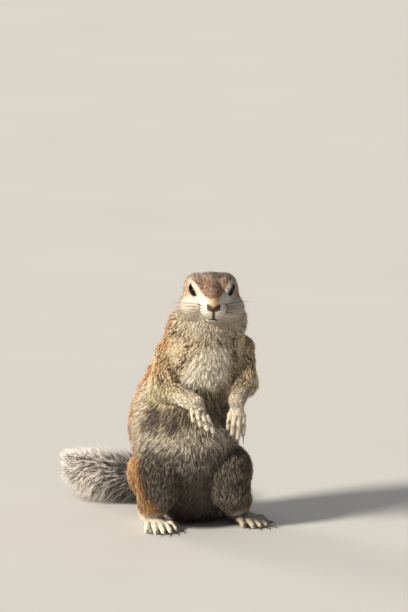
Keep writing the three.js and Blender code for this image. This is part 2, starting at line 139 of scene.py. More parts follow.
def along_segment(p, a, b):
    """The share of the way from a to b where each point is nearest, and its offset from there."""
    a, b = np.asarray(a, float), np.asarray(b, float)
    share = np.clip((p - a) @ (b - a) / ((b - a) @ (b - a)), 0, 1)
    return share, p - a - share[:, None] * (b - a)


def capsule(p, a, ra, b, rb):
    share, off = along_segment(p, a, b)
    return np.linalg.norm(off, axis=1) - (ra + (rb - ra) * share)


def slab(p, a, b, half, thick, up):
    """A flattened capsule: half its width across, thick its half thickness along `up`."""
    off, up, squash = along_segment(p, a, b)[1], unit(up), half / thick
    off = off + np.outer(off @ up * (squash - 1), up)
    return (np.linalg.norm(off, axis=1) - half) / squash


def union(distances, k):
    whole = distances[0]
    for d in distances[1:]:
        whole = smooth_min(whole, d, k)
    return whole


def spline_table(keys, values, step):
    """Catmull-Rom values of the columns of `values` at even steps of the key."""
    at = np.arange(keys[0], keys[-1] + step / 2, step)
    slopes = np.gradient(values, keys, axis=0)
    i = np.clip(np.searchsorted(keys, at, side="right") - 1, 0, len(keys) - 2)
    span = (keys[i + 1] - keys[i])[:, None]
    t = (at - keys[i])[:, None] / span
    start, rise = slopes[i] * span, values[i + 1] - values[i]
    bend = (slopes[i] + slopes[i + 1]) * span - 2 * rise
    lean = 3 * rise - (2 * slopes[i] + slopes[i + 1]) * span
    return at, values[i] + t * (start + t * (lean + t * bend))


TRUNK_AT, TRUNK_VALUES = spline_table(TRUNK[:, 0], TRUNK[:, 1:], 1.0)


def trunk_place(p):
    """Sideways and forward from the trunk's axis, the level, and the section's half width and depth there."""
    level = np.clip(p[:, 2], TRUNK[0, 0], TRUNK[-1, 0])
    x, y, half, front, back = (np.interp(level, TRUNK_AT, TRUNK_VALUES[:, c]) for c in range(5))
    dx, dy = p[:, 0] - x, p[:, 1] - y
    side = dx * math.cos(BODY_TURN) + dy * math.sin(BODY_TURN)
    forward = dx * math.sin(BODY_TURN) - dy * math.cos(BODY_TURN)
    return side, forward, level, half, np.where(forward > 0, front, back)


def trunk_angle(p):
    """Degrees round the trunk: 0 in front, 180 behind, above 0 on the animal's left."""
    side, forward, *_ = trunk_place(p)
    return np.degrees(np.arctan2(side, forward))


def trunk_field(p):
    side, forward, level, half, depth = trunk_place(p)
    over = p[:, 2] - level
    size = np.sqrt((side / half) ** 2 + (forward / depth) ** 2 + (over / TRUNK_END_ROUND) ** 2)
    reach = np.sqrt(side ** 2 + forward ** 2 + over ** 2)
    return reach * (1 - 1 / np.maximum(size, 1e-3))


def to_head(p):
    """Design frame to the head's: sideways, forward, up. The turn is its own inverse."""
    return turn_from_head(p - HEAD)


def turn_from_head(v):
    v = np.atleast_2d(np.asarray(v, float))
    cos, sin = math.cos(HEAD_TURN), math.sin(HEAD_TURN)
    return np.stack([v[:, 0] * cos + v[:, 1] * sin, v[:, 0] * sin - v[:, 1] * cos, v[:, 2]], 1)


def from_head(q):
    return turn_from_head(q) + HEAD


def paired(point, sign):
    return np.array(point, float) * (sign, 1, 1)


def head_masses(q):
    """The head out to the tips of its coat, from masses in the head's own frame."""
    masses = [
        egg(q, (0, -3, 1.2), (18.4, 21.5, 15.5)),  # skull
        capsule(q, (0, 9, 4.8), 10.5, (0, 32, -1), 5.6),  # bridge of the nose
        capsule(q, (0, 9, -5), 13, (0, 30, -5.2), 6.4),  # muzzle
        capsule(q, (0, 0, -13), 10, (0, 28.5, -10.8), 4.5),  # lower jaw
        capsule(q, (0, 31, -1.8), 4, (0, 35, -1.3), 2.9),  # nose
        egg(q, (-1.4, -7, -20), (26.6, 19.5, 17)),  # throat and nape
    ]
    for s in SIDES.values():
        masses += [
            capsule(q, (s * 10.8, 8.5, 7.9), 7, (s * 11.2, -7, 7.6), 7.8),  # brow
            capsule(q, (s * 7.8, 15.5, 2.5), 5.2, (s * 4.5, 25, -1.5), 4.5),  # inner corner of the eye
            egg(q, (s * 11.5, -3, 1), (8.6, 9.5, 11)),  # temple
            egg(q, (s * 13.2, 2.5, -9), (11.8, 14, 11)),  # cheek
            egg(q, (s * 4.6, 28.5, -6.2), (5.2, 7, 5.2)),  # whisker pad
        ]
    return union(masses, 4)


def head_depth(q):
    """How deep the coat is on the head: thin on the muzzle, deeper on the crown and the throat."""
    back = smooth_step(26, 0, q[:, 1])
    low = smooth_step(-8, -24, q[:, 2])
    return 0.5 + 0.8 * back + 1.5 * low * back


def eye_frame(sign):
    """The gaze, and the forward and up directions of the plane across it."""
    gaze = unit(paired(GAZE, sign))
    ahead = np.cross((0, 0, 1.0), gaze) * sign
    return gaze, unit(ahead), unit(np.cross(gaze, ahead)) * sign


def from_eye(q, sign):
    """Distance to the middle of the eye."""
    return np.linalg.norm(q - paired(EYE["place"], sign), axis=1)


def eye_opening(q, sign):
    """Along the gaze: distance to the edge of the lids' opening, and how far in front of the eye's middle."""
    gaze, ahead, top = eye_frame(sign)
    d = q - paired(EYE["place"], sign)
    place = np.stack([d @ ahead, d @ top], 1)
    edges = []
    for i, bulge in enumerate(LID_BULGES):
        start, end = np.array(LID_CORNERS[i]), np.array(LID_CORNERS[(i + 1) % 3])
        outward = unit(np.array((end[1] - start[1], start[0] - end[0])))
        outward = outward * (1 if outward @ start > 0 else -1)
        along = along_segment(place, start, end)[0]
        edges.append((place - start) @ outward - bulge * 4 * along * (1 - along))
    return smooth_max(smooth_max(edges[0], edges[1], LID_ROUND), edges[2], LID_ROUND), d @ gaze


def over_lips(q):
    """Height over the line of the mouth."""
    return q[:, 2] + 12.0 + 0.22 * np.abs(q[:, 0]) + 0.06 * np.maximum(36 - q[:, 1], 0)


def head_skin(p):
    q = to_head(p)
    skin = head_masses(q) + head_depth(q)
    for s in SIDES.values():
        wing = capsule(q, (s * 0.8, 35.4, -2.6), 2.2, (s * 3.3, 34.6, -0.9), 1.5)
        skin = smooth_min(skin, wing, 1.6)
        ball = from_eye(q, s)
        skin = smooth_min(skin, ball - EYE["radius"] - LID_THICK, 2.0)
        edge, ahead = eye_opening(q, s)
        skin = smooth_max(skin, -np.maximum(edge, 0.6 - ahead), 0.7)
        skin = np.maximum(skin, EYE["radius"] - 0.35 - ball)
        flap = egg(q, paired(EAR, s), (1.5, 3.6, 4.4))
        skin = smooth_min(skin, flap, 1.6)
        concha = egg(q, paired((EAR[0] + 1.2, EAR[1] + 1.8, EAR[2] - 0.6), s), (1.9, 2.0, 2.9))
        skin = smooth_max(skin, -concha, 0.8)
        nostril = capsule(q, paired((1.5, 38.2, -2.9), s), 0.7, paired((4.0, 36.2, -1.0), s), 0.5)
        skin = smooth_max(skin, -nostril, 0.5)
    beyond = np.maximum(np.abs(q[:, 0]) - 8, 21 - q[:, 1])
    lips = np.maximum.reduce([np.abs(over_lips(q)) - 0.45, -skin - 0.9, beyond])
    groove = capsule(q, (0, 37.4, -4.4), 0.5, (0, 35.8, -11.4), 0.6)
    return smooth_max(smooth_max(skin, -lips, 0.4), -groove, 0.6)


def arm_skin(p, side):
    """Upper arm, forearm, and the hand with its fingers, as three fields."""
    arm = ARMS[side]
    (shoulder, elbow, wrist), (r0, r1, r2) = arm["bones"], arm["radii"]
    upper = capsule(p, shoulder, r0 - 2.2, elbow, r1 - 1.8)  # less the coat's depth
    lower = capsule(p, elbow, r1 * 0.9 - 1.6, wrist, r2 - 0.9)
    palm_end = wrist + ((arm["knuckles"][1] + arm["knuckles"][2]) / 2 - wrist) * 0.8
    hand = slab(p, wrist, palm_end, 4.8, 2.9, (0, -1, 0.5))
    for knuckle, tip in zip(arm["knuckles"], arm["tips"]):
        root = knuckle * 0.7 + wrist * 0.3
        middle = (knuckle + tip) / 2 + (0, -0.9, 0.2)
        bones = [capsule(p, root, 2.0, knuckle, 1.8), capsule(p, knuckle, 1.8, middle, 1.65),
                 capsule(p, middle, 1.65, tip, 1.4)]
        hand = smooth_min(hand, union(bones, 0.8), 0.6)
    return upper, lower, hand


def foot_frame(leg):
    heel, toe = np.array((*leg["heel"], 0.0)), np.array((*leg["toe"], 0.0))
    forward = unit(toe - heel)
    return heel, toe, forward, np.array((-forward[1], forward[0], 0.0))


def toe_points(leg):
    """The root, knuckle and tip of each toe's middle line."""
    _, toe, forward, across = foot_frame(leg)
    ball = toe - forward * FOOT["toe_length"]
    for i in range(5):
        spread = (i - 2) / 2
        set_back = 5.5 if abs(spread) == 1 else abs(spread) * 1.6
        direction = unit(forward + across * spread * FOOT["splay"])
        root = ball + across * spread * FOOT["root_spread"] - forward * set_back
        yield [root + direction * FOOT["toe_length"] * share + (0, 0, height)
               for share, height in zip((-0.1, 0.5, 1), TOE_HEIGHTS)]


def foot_skin(p, leg):
    heel, toe, *_ = foot_frame(leg)
    line = [heel + (toe - heel) * share + (0, 0, height) for share, height in SOLE_LINE]
    sole = smooth_min(slab(p, line[0], line[1], 5.9, 4.9, (0, 0, 1)),
                      slab(p, line[1], line[2], 8.4, 4.3, (0, 0, 1)), 4)
    for root, knuckle, tip in toe_points(leg):
        toe_field = smooth_min(capsule(p, root, 2.6, knuckle, 2.3), capsule(p, knuckle, 2.3, tip, 1.8), 0.8)
        sole = smooth_min(sole, toe_field, 0.7)
    return sole


def leg_skin(p, side):
    leg, r = LEGS[side], LEG_RADII
    thigh = capsule(p, leg["hip"], r["hip"] - 3.6, leg["knee"], r["knee"] - 3.4)
    shank = capsule(p, leg["shin"], r["shin"] - 3.0, leg["ankle"], r["ankle"] - 2.6)
    return smooth_min(thigh, shank, 6)


def tail_points():
    """The flesh's middle line, the share of its length, and the hair's middle, reach and top there."""
    keys = np.arange(len(TAIL), dtype=float)
    _, fine = spline_table(keys, TAIL, 0.125)
    run = smooth_step(0.45, 1.0, np.linspace(0, 1, len(fine)))
    height = TAIL_CORE["root_height"] + (TAIL_CORE["tip_height"] - TAIL_CORE["root_height"]) * run
    line = np.column_stack([fine[:, :2], height])
    steps = np.linalg.norm(np.diff(line, axis=0), axis=1)
    share = np.concatenate([[0], np.cumsum(steps)]) / steps.sum()
    return line, share, fine[:, 2:]


TAIL_LINE, TAIL_SHARE, TAIL_REACH = tail_points()


def tail_core_radius(share):
    return TAIL_CORE["root"] + (TAIL_CORE["tip"] - TAIL_CORE["root"]) * np.clip(share, 0, 1) ** 0.7


def tail_skin(p):
    d = np.full(len(p), 1e3)
    for i in range(0, len(TAIL_LINE) - 4, 4):
        ra, rb = tail_core_radius(TAIL_SHARE[[i, i + 4]])
        d = np.minimum(d, capsule(p, TAIL_LINE[i], ra, TAIL_LINE[i + 4], rb))
    return d


LIMBS = ("upper_arm", "forearm", "hand", "leg", "foot")
GROUPS = ["trunk", "head"] + [f"{part}_{side}" for side in SIDES for part in LIMBS] + ["tail"]


def group_fields(p):
    """Every group's own skin field at the points, by name."""
    depth = 3.6 - 1.0 * smooth_step(145, 165, p[:, 2])  # of the trunk's coat
    made = {"trunk": trunk_field(p) + depth, "head": head_skin(p), "tail": tail_skin(p)}
    for side in SIDES:
        fields = (*arm_skin(p, side), leg_skin(p, side), foot_skin(p, LEGS[side]))
        made.update({f"{part}_{side}": field for part, field in zip(LIMBS, fields)})
    return made


def skin_field(p):
    g = group_fields(p)
    whole = smooth_min(g["trunk"], g["head"], 7)
    for side in SIDES:
        arm = smooth_min(g[f"upper_arm_{side}"], g[f"forearm_{side}"], 5)
        whole = smooth_min(whole, g[f"upper_arm_{side}"], 5)
        whole = smooth_min(whole, smooth_min(arm, g[f"hand_{side}"], 2.2), 2.5)
        leg = smooth_min(g[f"leg_{side}"], g[f"foot_{side}"], 3)
        whole = smooth_min(whole, leg, 4)
    whole = smooth_min(whole, g["tail"], 5)
    return smooth_max(whole, 0.25 - p[:, 2], 0.5)  # cut off just above the floor


# ---------- the skin: one closed surface where skin_field is zero ----------

BANDS = {  # finer grid lines where the face, hands and feet are: low, high, step
    0: [(-7, 12, 0.55), (-17, -7, 0.5), (12, 21, 0.5), (-24, 29, 0.8)],
    1: [(-52, -36, 0.55), (-33, -16, 0.55), (-36, 0, 0.8)],
    2: [(0, 8, 0.7), (80, 104, 0.9), (164, 188, 0.5), (150, 196, 0.9)],
}
COARSE_STEP = 1.6
GRID_REACH = ((-122.0, 54.0), (-54.0, 152.0), (-2.0, 198.0))
BLOCK = 12  # grid lines to a block
BATCH = 24  # blocks worked out at once


def grid_lines(axis, low, high):
    lines = [low]
    while lines[-1] < high:
        at = lines[-1]
        steps = [step for start, end, step in BANDS[axis] if start <= at < end]
        lines.append(at + min(steps, default=COARSE_STEP))
    return np.array(lines)


def grid_points(*lines):
    """The points where the lines along three axes cross, one to a row."""
    return np.stack(np.meshgrid(*lines, indexing="ij"), -1).reshape(-1, 3)


def sample_grid(field, axes):
    """The field on the grid, worked out only in the blocks that its surface may pass through."""
    shape = [len(a) for a in axes]
    starts = grid_points(*[np.arange(0, n, BLOCK) for n in shape])
    ends = np.minimum(starts + BLOCK, shape)
    low = np.stack([axes[c][starts[:, c]] for c in range(3)], 1)
    high = np.stack([axes[c][ends[:, c] - 1] for c in range(3)], 1)
    middle = field((low + high) / 2)
    near = np.abs(middle) < np.linalg.norm(high - low, axis=1) / 2 * 1.25 + 2.5
    values = np.full(shape, 9.0, np.float32)
    for s, e, m in zip(starts[~near], ends[~near], middle[~near]):
        values[s[0]:e[0], s[1]:e[1], s[2]:e[2]] = m
    starts, ends = starts[near], ends[near]
    for batch in range(0, len(starts), BATCH):
        boxes = [tuple(slice(a, b) for a, b in zip(s, e))
                 for s, e in zip(starts[batch:batch + BATCH], ends[batch:batch + BATCH])]
        points = [grid_points(*[axes[c][box[c]] for c in range(3)]) for box in boxes]
        found = field(np.concatenate(points))
        for box, part in zip(boxes, np.split(found, np.cumsum([len(p) for p in points])[:-1])):
            values[box] = part.reshape([s.stop - s.start for s in box])
    return values


def surface_net(values, axes):
    """Points and four-sided faces of the zero surface: one point in each grid cell that it crosses."""
    inside = values < 0
    cells = tuple(n - 1 for n in values.shape)
    corners = [(i, j, k) for i in (0, 1) for j in (0, 1) for k in (0, 1)]

    def corner(array, c):
        return array[c[0]:c[0] + cells[0], c[1]:c[1] + cells[1], c[2]:c[2] + cells[2]]

    count = sum(corner(inside, c).astype(np.int8) for c in corners)
    mixed = (count > 0) & (count < 8)
    where = np.argwhere(mixed)
    index = np.full(cells, -1)
    index[mixed] = np.arange(len(where))
    total, crossings = np.zeros((len(where), 3)), np.zeros(len(where))
    for a in corners:
        for c in range(3):
            if a[c]:
                continue
            b = tuple(1 if i == c else a[i] for i in range(3))
            at_a, at_b = (tuple((where + np.array(e)).T) for e in (a, b))
            va, vb = values[at_a].astype(float), values[at_b].astype(float)
            crossed = (va < 0) != (vb < 0)
            share = np.where(crossed, va / np.where(crossed, va - vb, 1), 0)
            ends = [np.stack([axes[i][at[i]] for i in range(3)], 1) for at in (at_a, at_b)]
            total += (ends[0] + share[:, None] * (ends[1] - ends[0])) * crossed[:, None]
            crossings += crossed
    points = total / crossings[:, None]
    faces = []
    for c in range(3):
        u, v = [i for i in range(3) if i != c]
        low = tuple(slice(0, -1) if i == c else slice(1, -1) for i in range(3))
        high = tuple(slice(1, None) if i == c else slice(1, -1) for i in range(3))
        change = inside[low] != inside[high]
        at = np.argwhere(change) + np.array([0 if i == c else 1 for i in range(3)])
        ring = []
        for du, dv in ((1, 1), (0, 1), (0, 0), (1, 0)):
            cell = at.copy()
            cell[:, u] -= du
            cell[:, v] -= dv
            ring.append(index[tuple(cell.T)])
        quads = np.stack(ring, 1)
        outward = inside[tuple(at.T)] ^ (c == 1)
        faces.append(np.where(outward[:, None], quads, quads[:, ::-1]))
    return points, np.concatenate(faces)


def point_normals(points, faces):
    a, b, c, d = (points[faces[:, i]] for i in range(4))
    face_normals = np.cross(c - a, d - b)
    normals = np.zeros_like(points)
    for corner in range(4):
        for axis in range(3):
            normals[:, axis] += np.bincount(faces[:, corner], face_normals[:, axis], len(points))
    return unit(normals)


def build_skin():
    axes = [grid_lines(axis, *reach) for axis, reach in enumerate(GRID_REACH)]
    points, faces = surface_net(sample_grid(skin_field, axes), axes)
    for _ in range(3):  # onto the surface itself
        normals = point_normals(points, faces)
        points -= normals * np.clip(skin_field(points), -0.4, 0.4)[:, None] * 0.9
    return points, faces, point_normals(points, faces)

# ---------- lie of the coat ----------


def along_bones(p, *joints):
    """The direction of the nearest of the bones between the joints."""
    best, way = np.full(len(p), 1e9), np.zeros((len(p), 3))
    for a, b in zip(joints, joints[1:]):
        d = capsule(p, a, 0, b, 0)
        way = np.where((d < best)[:, None], unit(b - a), way)
        best = np.minimum(best, d)
    return way


def tail_place(p):
    """The nearest place on the tail's line: its share of the length, direction, hair's reach and place."""
    best, index = np.full(len(p), 1e9), np.zeros(len(p), int)
    for i, point in enumerate(TAIL_LINE):
        d = np.linalg.norm(p - point, axis=1)
        index = np.where(d < best, i, index)
        best = np.minimum(best, d)
    ways = unit(np.gradient(TAIL_LINE, axis=0))
    return TAIL_SHARE[index], ways[index], TAIL_REACH[index], TAIL_LINE[index]


def group_weights(p):
    fields = group_fields(p)
    d = np.stack([fields[name] for name in GROUPS])
    weight = np.exp(-(d - d.min(0)) / 1.6)
    return dict(zip(GROUPS, weight / weight.sum(0)))


def noise(p, size, seed):
    """Smooth noise between about -1 and 1, as a few waves in fixed directions."""
    draw = np.random.default_rng(seed)
    total = np.zeros(len(p))
    for _ in range(7):
        wave = unit(draw.normal(size=3)) * 2 * math.pi / size * draw.uniform(0.6, 1.7)
        total += np.sin(p @ wave + draw.uniform(0, 6.3))
    return total / 2.6


def elbow_tuft(p, weights):
    """1 at the elbows, where longer hair hangs down."""
    tuft = np.zeros(len(p))
    for name, arm in ARMS.items():
        far = np.linalg.norm(p - arm["bones"][1], axis=1)
        tuft += smooth_step(15, 9, far) * (weights[f"upper_arm_{name}"] + weights[f"forearm_{name}"])
    return tuft


def coat_flow(p, normals, weights):
    """The direction, along the skin, in which the hair lies."""
    q = to_head(p)
    angle = trunk_angle(p)
    heading = np.radians(angle) + BODY_TURN
    sidelong = np.stack([np.cos(heading), np.sin(heading), np.zeros(len(p))], 1) * np.sign(angle)[:, None]
    spread = smooth_step(4, 40, np.abs(angle)) * smooth_step(120, 85, np.abs(angle))
    trunk = np.array((0, 0, -1.0)) + sidelong * (0.75 * spread)[:, None]
    below = smooth_step(6, -16, q[:, 2])
    sideways = np.sign(q[:, 0]) * smooth_step(1, 8, np.abs(q[:, 0]))
    head = turn_from_head(np.stack([0.3 * sideways, -1 + 0.5 * below, -0.1 - 0.9 * below], 1))
    ways = {"trunk": trunk, "head": head, "tail": tail_place(p)[1]}
    for name, arm in ARMS.items():
        ways[f"upper_arm_{name}"] = along_bones(p, *arm["bones"][:2])
        ways[f"forearm_{name}"] = along_bones(p, *arm["bones"][1:])
        ways[f"hand_{name}"] = along_bones(p, arm["bones"][2], (arm["tips"][1] + arm["tips"][2]) / 2)
    for name, leg in LEGS.items():
        ways[f"leg_{name}"] = along_bones(p, leg["hip"], leg["knee"]) * 0.45 + (0, 0, -1.0)
        ways[f"foot_{name}"] = np.tile(foot_frame(leg)[2], (len(p), 1))
    flow = sum(weights[name][:, None] * unit(ways[name]) for name in GROUPS)
    flow = flow - np.outer(elbow_tuft(p, weights), (0, 0, 1.2))
    stray = np.stack([noise(p, 9, seed) for seed in (11, 12, 13)], 1) * 0.16
    flow = flow + stray + rng.normal(size=p.shape) * 0.10
    return unit(flow - normals * (flow * normals).sum(1, keepdims=True))


# ---------- markings: the same for skin and coat ----------

WHITE, CREAM, CREAM_DARK = (222, 215, 200), (218, 205, 181), (182, 165, 135)
GOLD, GOLD_DARK, TAN = (255, 234, 190), (200, 164, 114), (196, 158, 113)
PEPPER_DARK, ORANGE_LIGHT, HAND_DARK = (32, 25, 19), (238, 200, 148), (212, 191, 156)
# Bare skin's shades, and last the brown of painted shade between digits and over shaded hands and feet.
NOSE, LID, LIP, EAR_SKIN, SHADE_BROWN = (80, 60, 44), (12, 8, 7), (44, 34, 26), (190, 150, 122), (124, 106, 80)

# sRGB, 0 to 255, of the middle, the dark and the light hairs, and the shares of dark and of light ones.
ZONES = {
    "breast": ((250, 238, 216), (206, 188, 160), (255, 252, 242), 0.20, 0.4),
    "low": ((140, 124, 98), (76, 65, 49), (202, 187, 156), 0.34, 0.24),
    "belly": ((188, 174, 152), (96, 86, 72), (240, 229, 210), 0.28, 0.44),
    # Painted shade: the underside between the legs, where the rump sits in shadow, in darker hair.
    "under": ((88, 79, 68), (48, 42, 36), (130, 117, 101), 0.30, 0.24),
    "hip": ((116, 105, 87), (56, 49, 40), (186, 172, 146), 0.36, 0.26),
    "gold": (GOLD, GOLD_DARK, (255, 250, 226), 0.1, 0.56),
    "ochre": (GOLD_DARK, PEPPER_DARK, GOLD, 0.2, 0.42),
    "pepper": ((172, 151, 116), PEPPER_DARK, (250, 230, 194), 0.36, 0.42),
    "orange": ((208, 152, 93), (124, 80, 46), ORANGE_LIGHT, 0.26, 0.36),
    "stripe": ((226, 210, 180), (142, 126, 100), WHITE, 0.16, 0.36),
    "thigh": ((96, 87, 74), (47, 41, 34), (154, 142, 122), 0.36, 0.28),
    "shank": ((178, 128, 74), (104, 74, 46), (222, 180, 124), 0.28, 0.28),
    "crown": ((148, 101, 69), (30, 21, 17), (238, 208, 176), 0.38, 0.38),
    "cream": (CREAM, CREAM_DARK, WHITE, 0.22, 0.36),
    "white": (WHITE, CREAM_DARK, WHITE, 0.2, 0.4),
    "bridge": ((196, 168, 128), TAN, CREAM, 0.16, 0.3),
    "tan": (TAN, PEPPER_DARK, ORANGE_LIGHT, 0.16, 0.36),
    "hand": ((244, 234, 213), HAND_DARK, WHITE, 0.16, 0.36),
    # Painted shade between the digits and over shaded hands and feet.
    "painted_shade": (SHADE_BROWN, SHADE_BROWN, HAND_DARK, 0, 0.1),
    "nose": (NOSE, NOSE, NOSE, 0, 0),
    "lid": (LID, LID, LID, 0, 0),
    "lip": (LIP, LIP, LIP, 0, 0),
    "ear": (EAR_SKIN, EAR_SKIN, EAR_SKIN, 0, 0),
}
# The photo's light from the animal's right, painted in: how much of a colour the limbs of each side have, how
# far out on the leg the rust starts, and whether the thigh's dark top goes past the belly's edge.
SIDE_PAINT = {
    "right": {"gold": 1.0, "hand_gap": 0.0, "hip": 0.0, "rust": 1.0, "foot_gap": 0.25,
              "rust_from": 0, "over_belly": 1},
    "left": {"gold": 0.45, "hand_gap": 0.36, "hip": 0.3, "rust": 0.12, "foot_gap": 0.6,
             "rust_from": 9, "over_belly": 0},
}


def linear(colour):
    c = np.asarray(colour, float) / 255
    return np.where(c <= 0.04045, c / 12.92, ((c + 0.055) / 1.055) ** 2.4)


TAIL_WHITE, TAIL_BLACK = linear((238, 231, 221)), linear((38, 33, 33))


class Paint:
    """Layers of three shades (middle, dark hairs, light hairs) with how many hairs are dark and light."""

    def __init__(self, n, zone):
        self.shades = np.zeros((n, 3, 3))
        self.mix = np.zeros((n, 2))
        self.add(np.ones(n), zone)

    def add(self, amount, zone):
        w = amount[:, None]
        self.shades = self.shades * (1 - w[:, None]) + linear(ZONES[zone][:3]) * w[:, None]
        self.mix = self.mix * (1 - w) + np.array(ZONES[zone][3:]) * w


def nose_leather(q):
    """1 on the bare leather of the nose: the nostrils, the strip between them and the groove below."""
    s, f, u = np.abs(q[:, 0]), q[:, 1], q[:, 2]
    top, bottom = 0.5 * s - 2.5 - u, u - 0.3 * s + 6.4  # both above 0 inside the pad
    pad = smooth_step(-0.6, 0.5, np.minimum(top, bottom)) * smooth_step(5.4, 4.6, s + 0.1 * np.abs(u + 2.5))
    strip = smooth_step(1.5, 0.9, s) * smooth_step(-3.0, -4.4, u) * smooth_step(-12.6, -12.0, u)
    return np.maximum(pad, strip) * smooth_step(32.2, 33.4, f)


def near_ears(q, offset, radii):
    """Distance to the nearer of two eggs, one at each ear and off its middle by the offset."""
    return np.minimum.reduce([egg(q, paired(np.add(EAR, offset), s), radii) for s in SIDES.values()])


def lid_rim(q):
    """1 on the bare dark rim of the eyelids."""
    rim = np.zeros(len(q))
    for s in SIDES.values():
        edge, ahead = eye_opening(q, s)
        near = from_eye(q, s) < EYE["radius"] + 2.4
        rim = np.maximum(rim, smooth_step(0.75, 0.35, edge) * (ahead > 0.3) * near)
    return rim


def seen_height(q):
    """How high a point is seen in the photo, whose camera looks down by 10 degrees at the face."""
    return 0.985 * q[:, 2] - 0.174 * q[:, 1]


def paint_head(paint, q, amount):
    s, f, u = np.abs(q[:, 0]), q[:, 1], q[:, 2]
    waver = noise(q, 7, 31) * 0.5
    face = smooth_step(-16, 0, f + 0.15 * u)
    paint.add(amount, "pepper")
    nape = smooth_step(2, -8, f) * smooth_step(-22, -6, u)
    paint.add(amount * nape, "orange")
    pale = smooth_step(-25.5, -20, u - 0.10 * (f - 10) + waver) * face
    paint.add(amount * pale, "cream")
    temple = smooth_step(12, 3, f + waver * 3) * smooth_step(-8, 1, u + waver * 3)
    temple = temple * smooth_step(11.5, 15.5, s) * smooth_step(-18, -6, f)
    paint.add(amount * temple, "tan")
    under = smooth_step(5, 9, f) * smooth_step(-7, -4, u) * smooth_step(3.2, 1.0, u)
    paint.add(amount * under, "white")
    muzzle = smooth_step(18, 24, f)
    paint.add(amount * muzzle, "white")
    rise = seen_height(q)
    brow_line = s - (6.3 + 0.66 * rise)  # below 0 inside the crown
    crown = smooth_step(0.6, -0.4, brow_line + waver * 0.6) * smooth_step(-4.0, -1.4, rise - 0.10 * s + waver)
    brow = smooth_step(3.6, 2.6, brow_line) * smooth_step(-5, 6, f + waver * 2) * smooth_step(-1.5, 0.5, rise)
    paint.add(amount * brow, "white")
    bridge = smooth_step(5.6, 2.2, s + waver) * smooth_step(24, 31, f)
    paint.add(amount * bridge * smooth_step(-10.5, -9.0, rise - 0.5 * s), "bridge")
    paint.add(amount * crown * smooth_step(-10, 0, f), "crown")
    back_crown = smooth_step(4, -3, f) * smooth_step(4.5, 10.5, u + waver * 4)
    back_crown = back_crown * smooth_step(-22, -8, f + 0.3 * u + waver * 8)
    paint.add(amount * back_crown, "crown")


def breast_patch(p):
    """1 on the pale breast between the arms, 0 on the peppered neck and shoulders."""
    around = trunk_angle(p)
    wide = 34 - 0.9 * np.maximum(p[:, 2] - 130, 0)
    top = smooth_step(148, 140, p[:, 2] + 0.12 * np.abs(around - 8))
    return smooth_step(wide + 7, wide - 5, np.abs(around + 1) + noise(p, 9, 25) * 2) * top


def between_digits(p, lines, reach):
    """1 in the gaps between digits, for painted shade; the digits' middle lines are given, from root to tip.
    """
    near = np.stack([capsule(p, a, 0, b, 0) for a, b in lines])
    near.sort(axis=0)
    apart = smooth_step(reach * 0.72, reach, near[0]) * smooth_step(reach * 2.2, reach * 1.7, near[0])
    return apart * smooth_step(2.2, 1.2, near[1] - near[0])


def paint_trunk(paint, p):
    around = np.abs(trunk_angle(p)) + noise(p, 15, 21) * 3.0
    z = p[:, 2] + noise(p, 12, 22) * 1.6
    paint.add(smooth_step(119, 109, z), "low")
    paint.add(smooth_step(91, 82, z + 0.14 * around), "belly")
    paint.add(smooth_step(74, 60, z) * smooth_step(70, 45, around) * 0.75, "thigh")
    # Painted shade on the underside between the legs.
    paint.add(smooth_step(56, 42, z) * smooth_step(75, 50, around), "under")
    hip = smooth_step(12, 22, around) * smooth_step(82, 72, around)
    paint.add(hip * smooth_step(78, 86, z) * smooth_step(106, 97, z - 0.1 * around), "hip")
    gold = smooth_step(26, 46, around) * smooth_step(98, 105, z + 0.06 * around) * smooth_step(134, 124, z)
    paint.add(gold, "gold")
    paint.add((1 - breast_patch(p)) * smooth_step(111, 121, z + 0.05 * around), "pepper")
    paint.add(smooth_step(143, 149, z - 0.15 * around) * smooth_step(68, 46, around), "breast")
    upper_gold = smooth_step(44, 60, around) * smooth_step(112, 122, z) * smooth_step(152, 142, z)
    paint.add(upper_gold * 0.75, "gold")
    stripe_at = 80 + 0.5 * np.clip(70 - z, 0, 30)
    stripe = smooth_step(16, 7, np.abs(around - stripe_at))
    paint.add(stripe * smooth_step(122, 110, z) * smooth_step(50, 66, z), "stripe")
    back = smooth_step(6, 17, around - stripe_at + 12 * smooth_step(108, 128, z))
    paint.add(back, "orange")


def paint_arm(paint, p, weights, name):
    arm, shares = ARMS[name], SIDE_PAINT[name]
    shoulder, elbow, wrist = arm["bones"]
    upper, lower, hand = (weights[f"{part}_{name}"] for part in LIMBS[:3])
    around = np.abs(trunk_angle(p)) + noise(p, 10, 26) * 3
    down, off = along_segment(p, shoulder, elbow)
    aside = off[:, 0] * SIDES[name] + noise(p, 7, 30)
    paint.add(upper, "pepper")
    # The gold is the fur's own, full on the lit right arm and cut on the left arm as painted shade.
    paint.add(upper * smooth_step(-2, 4, aside - 4 + 14 * down) * shares["gold"], "ochre")
    paint.add(upper * smooth_step(0.75, 1.0, down) * smooth_step(0, 5, aside) * shares["gold"], "gold")
    paint.add(upper * smooth_step(82, 100, around) * smooth_step(-1, 5, aside), "orange")
    toward, off = along_segment(p, elbow, wrist)
    outer = off @ unit((SIDES[name] * 0.55, 0.2, -0.85)) + 4.5 - 3 * toward + noise(p, 7, 27) * 0.7
    paint.add(lower, "pepper")
    # Less gold on the left forearm: painted shade.
    paint.add(lower * smooth_step(-1.5, 3, outer) * shares["gold"], "gold")
    paint.add(lower * smooth_step(0.4, 0.8, toward + 0.03 * outer), "hand")
    paint.add(hand, "hand")
    digits = list(zip(arm["knuckles"], arm["tips"]))
    past = np.max([(p - knuckle) @ unit(tip - knuckle) for knuckle, tip in digits], 0)
    # Painted shade between the fingers, and over the whole left hand.
    painted_shade = between_digits(p, digits, 2.7) * smooth_step(-2.0, 1.0, past)
    paint.add(hand * np.maximum(painted_shade, shares["hand_gap"]), "painted_shade")


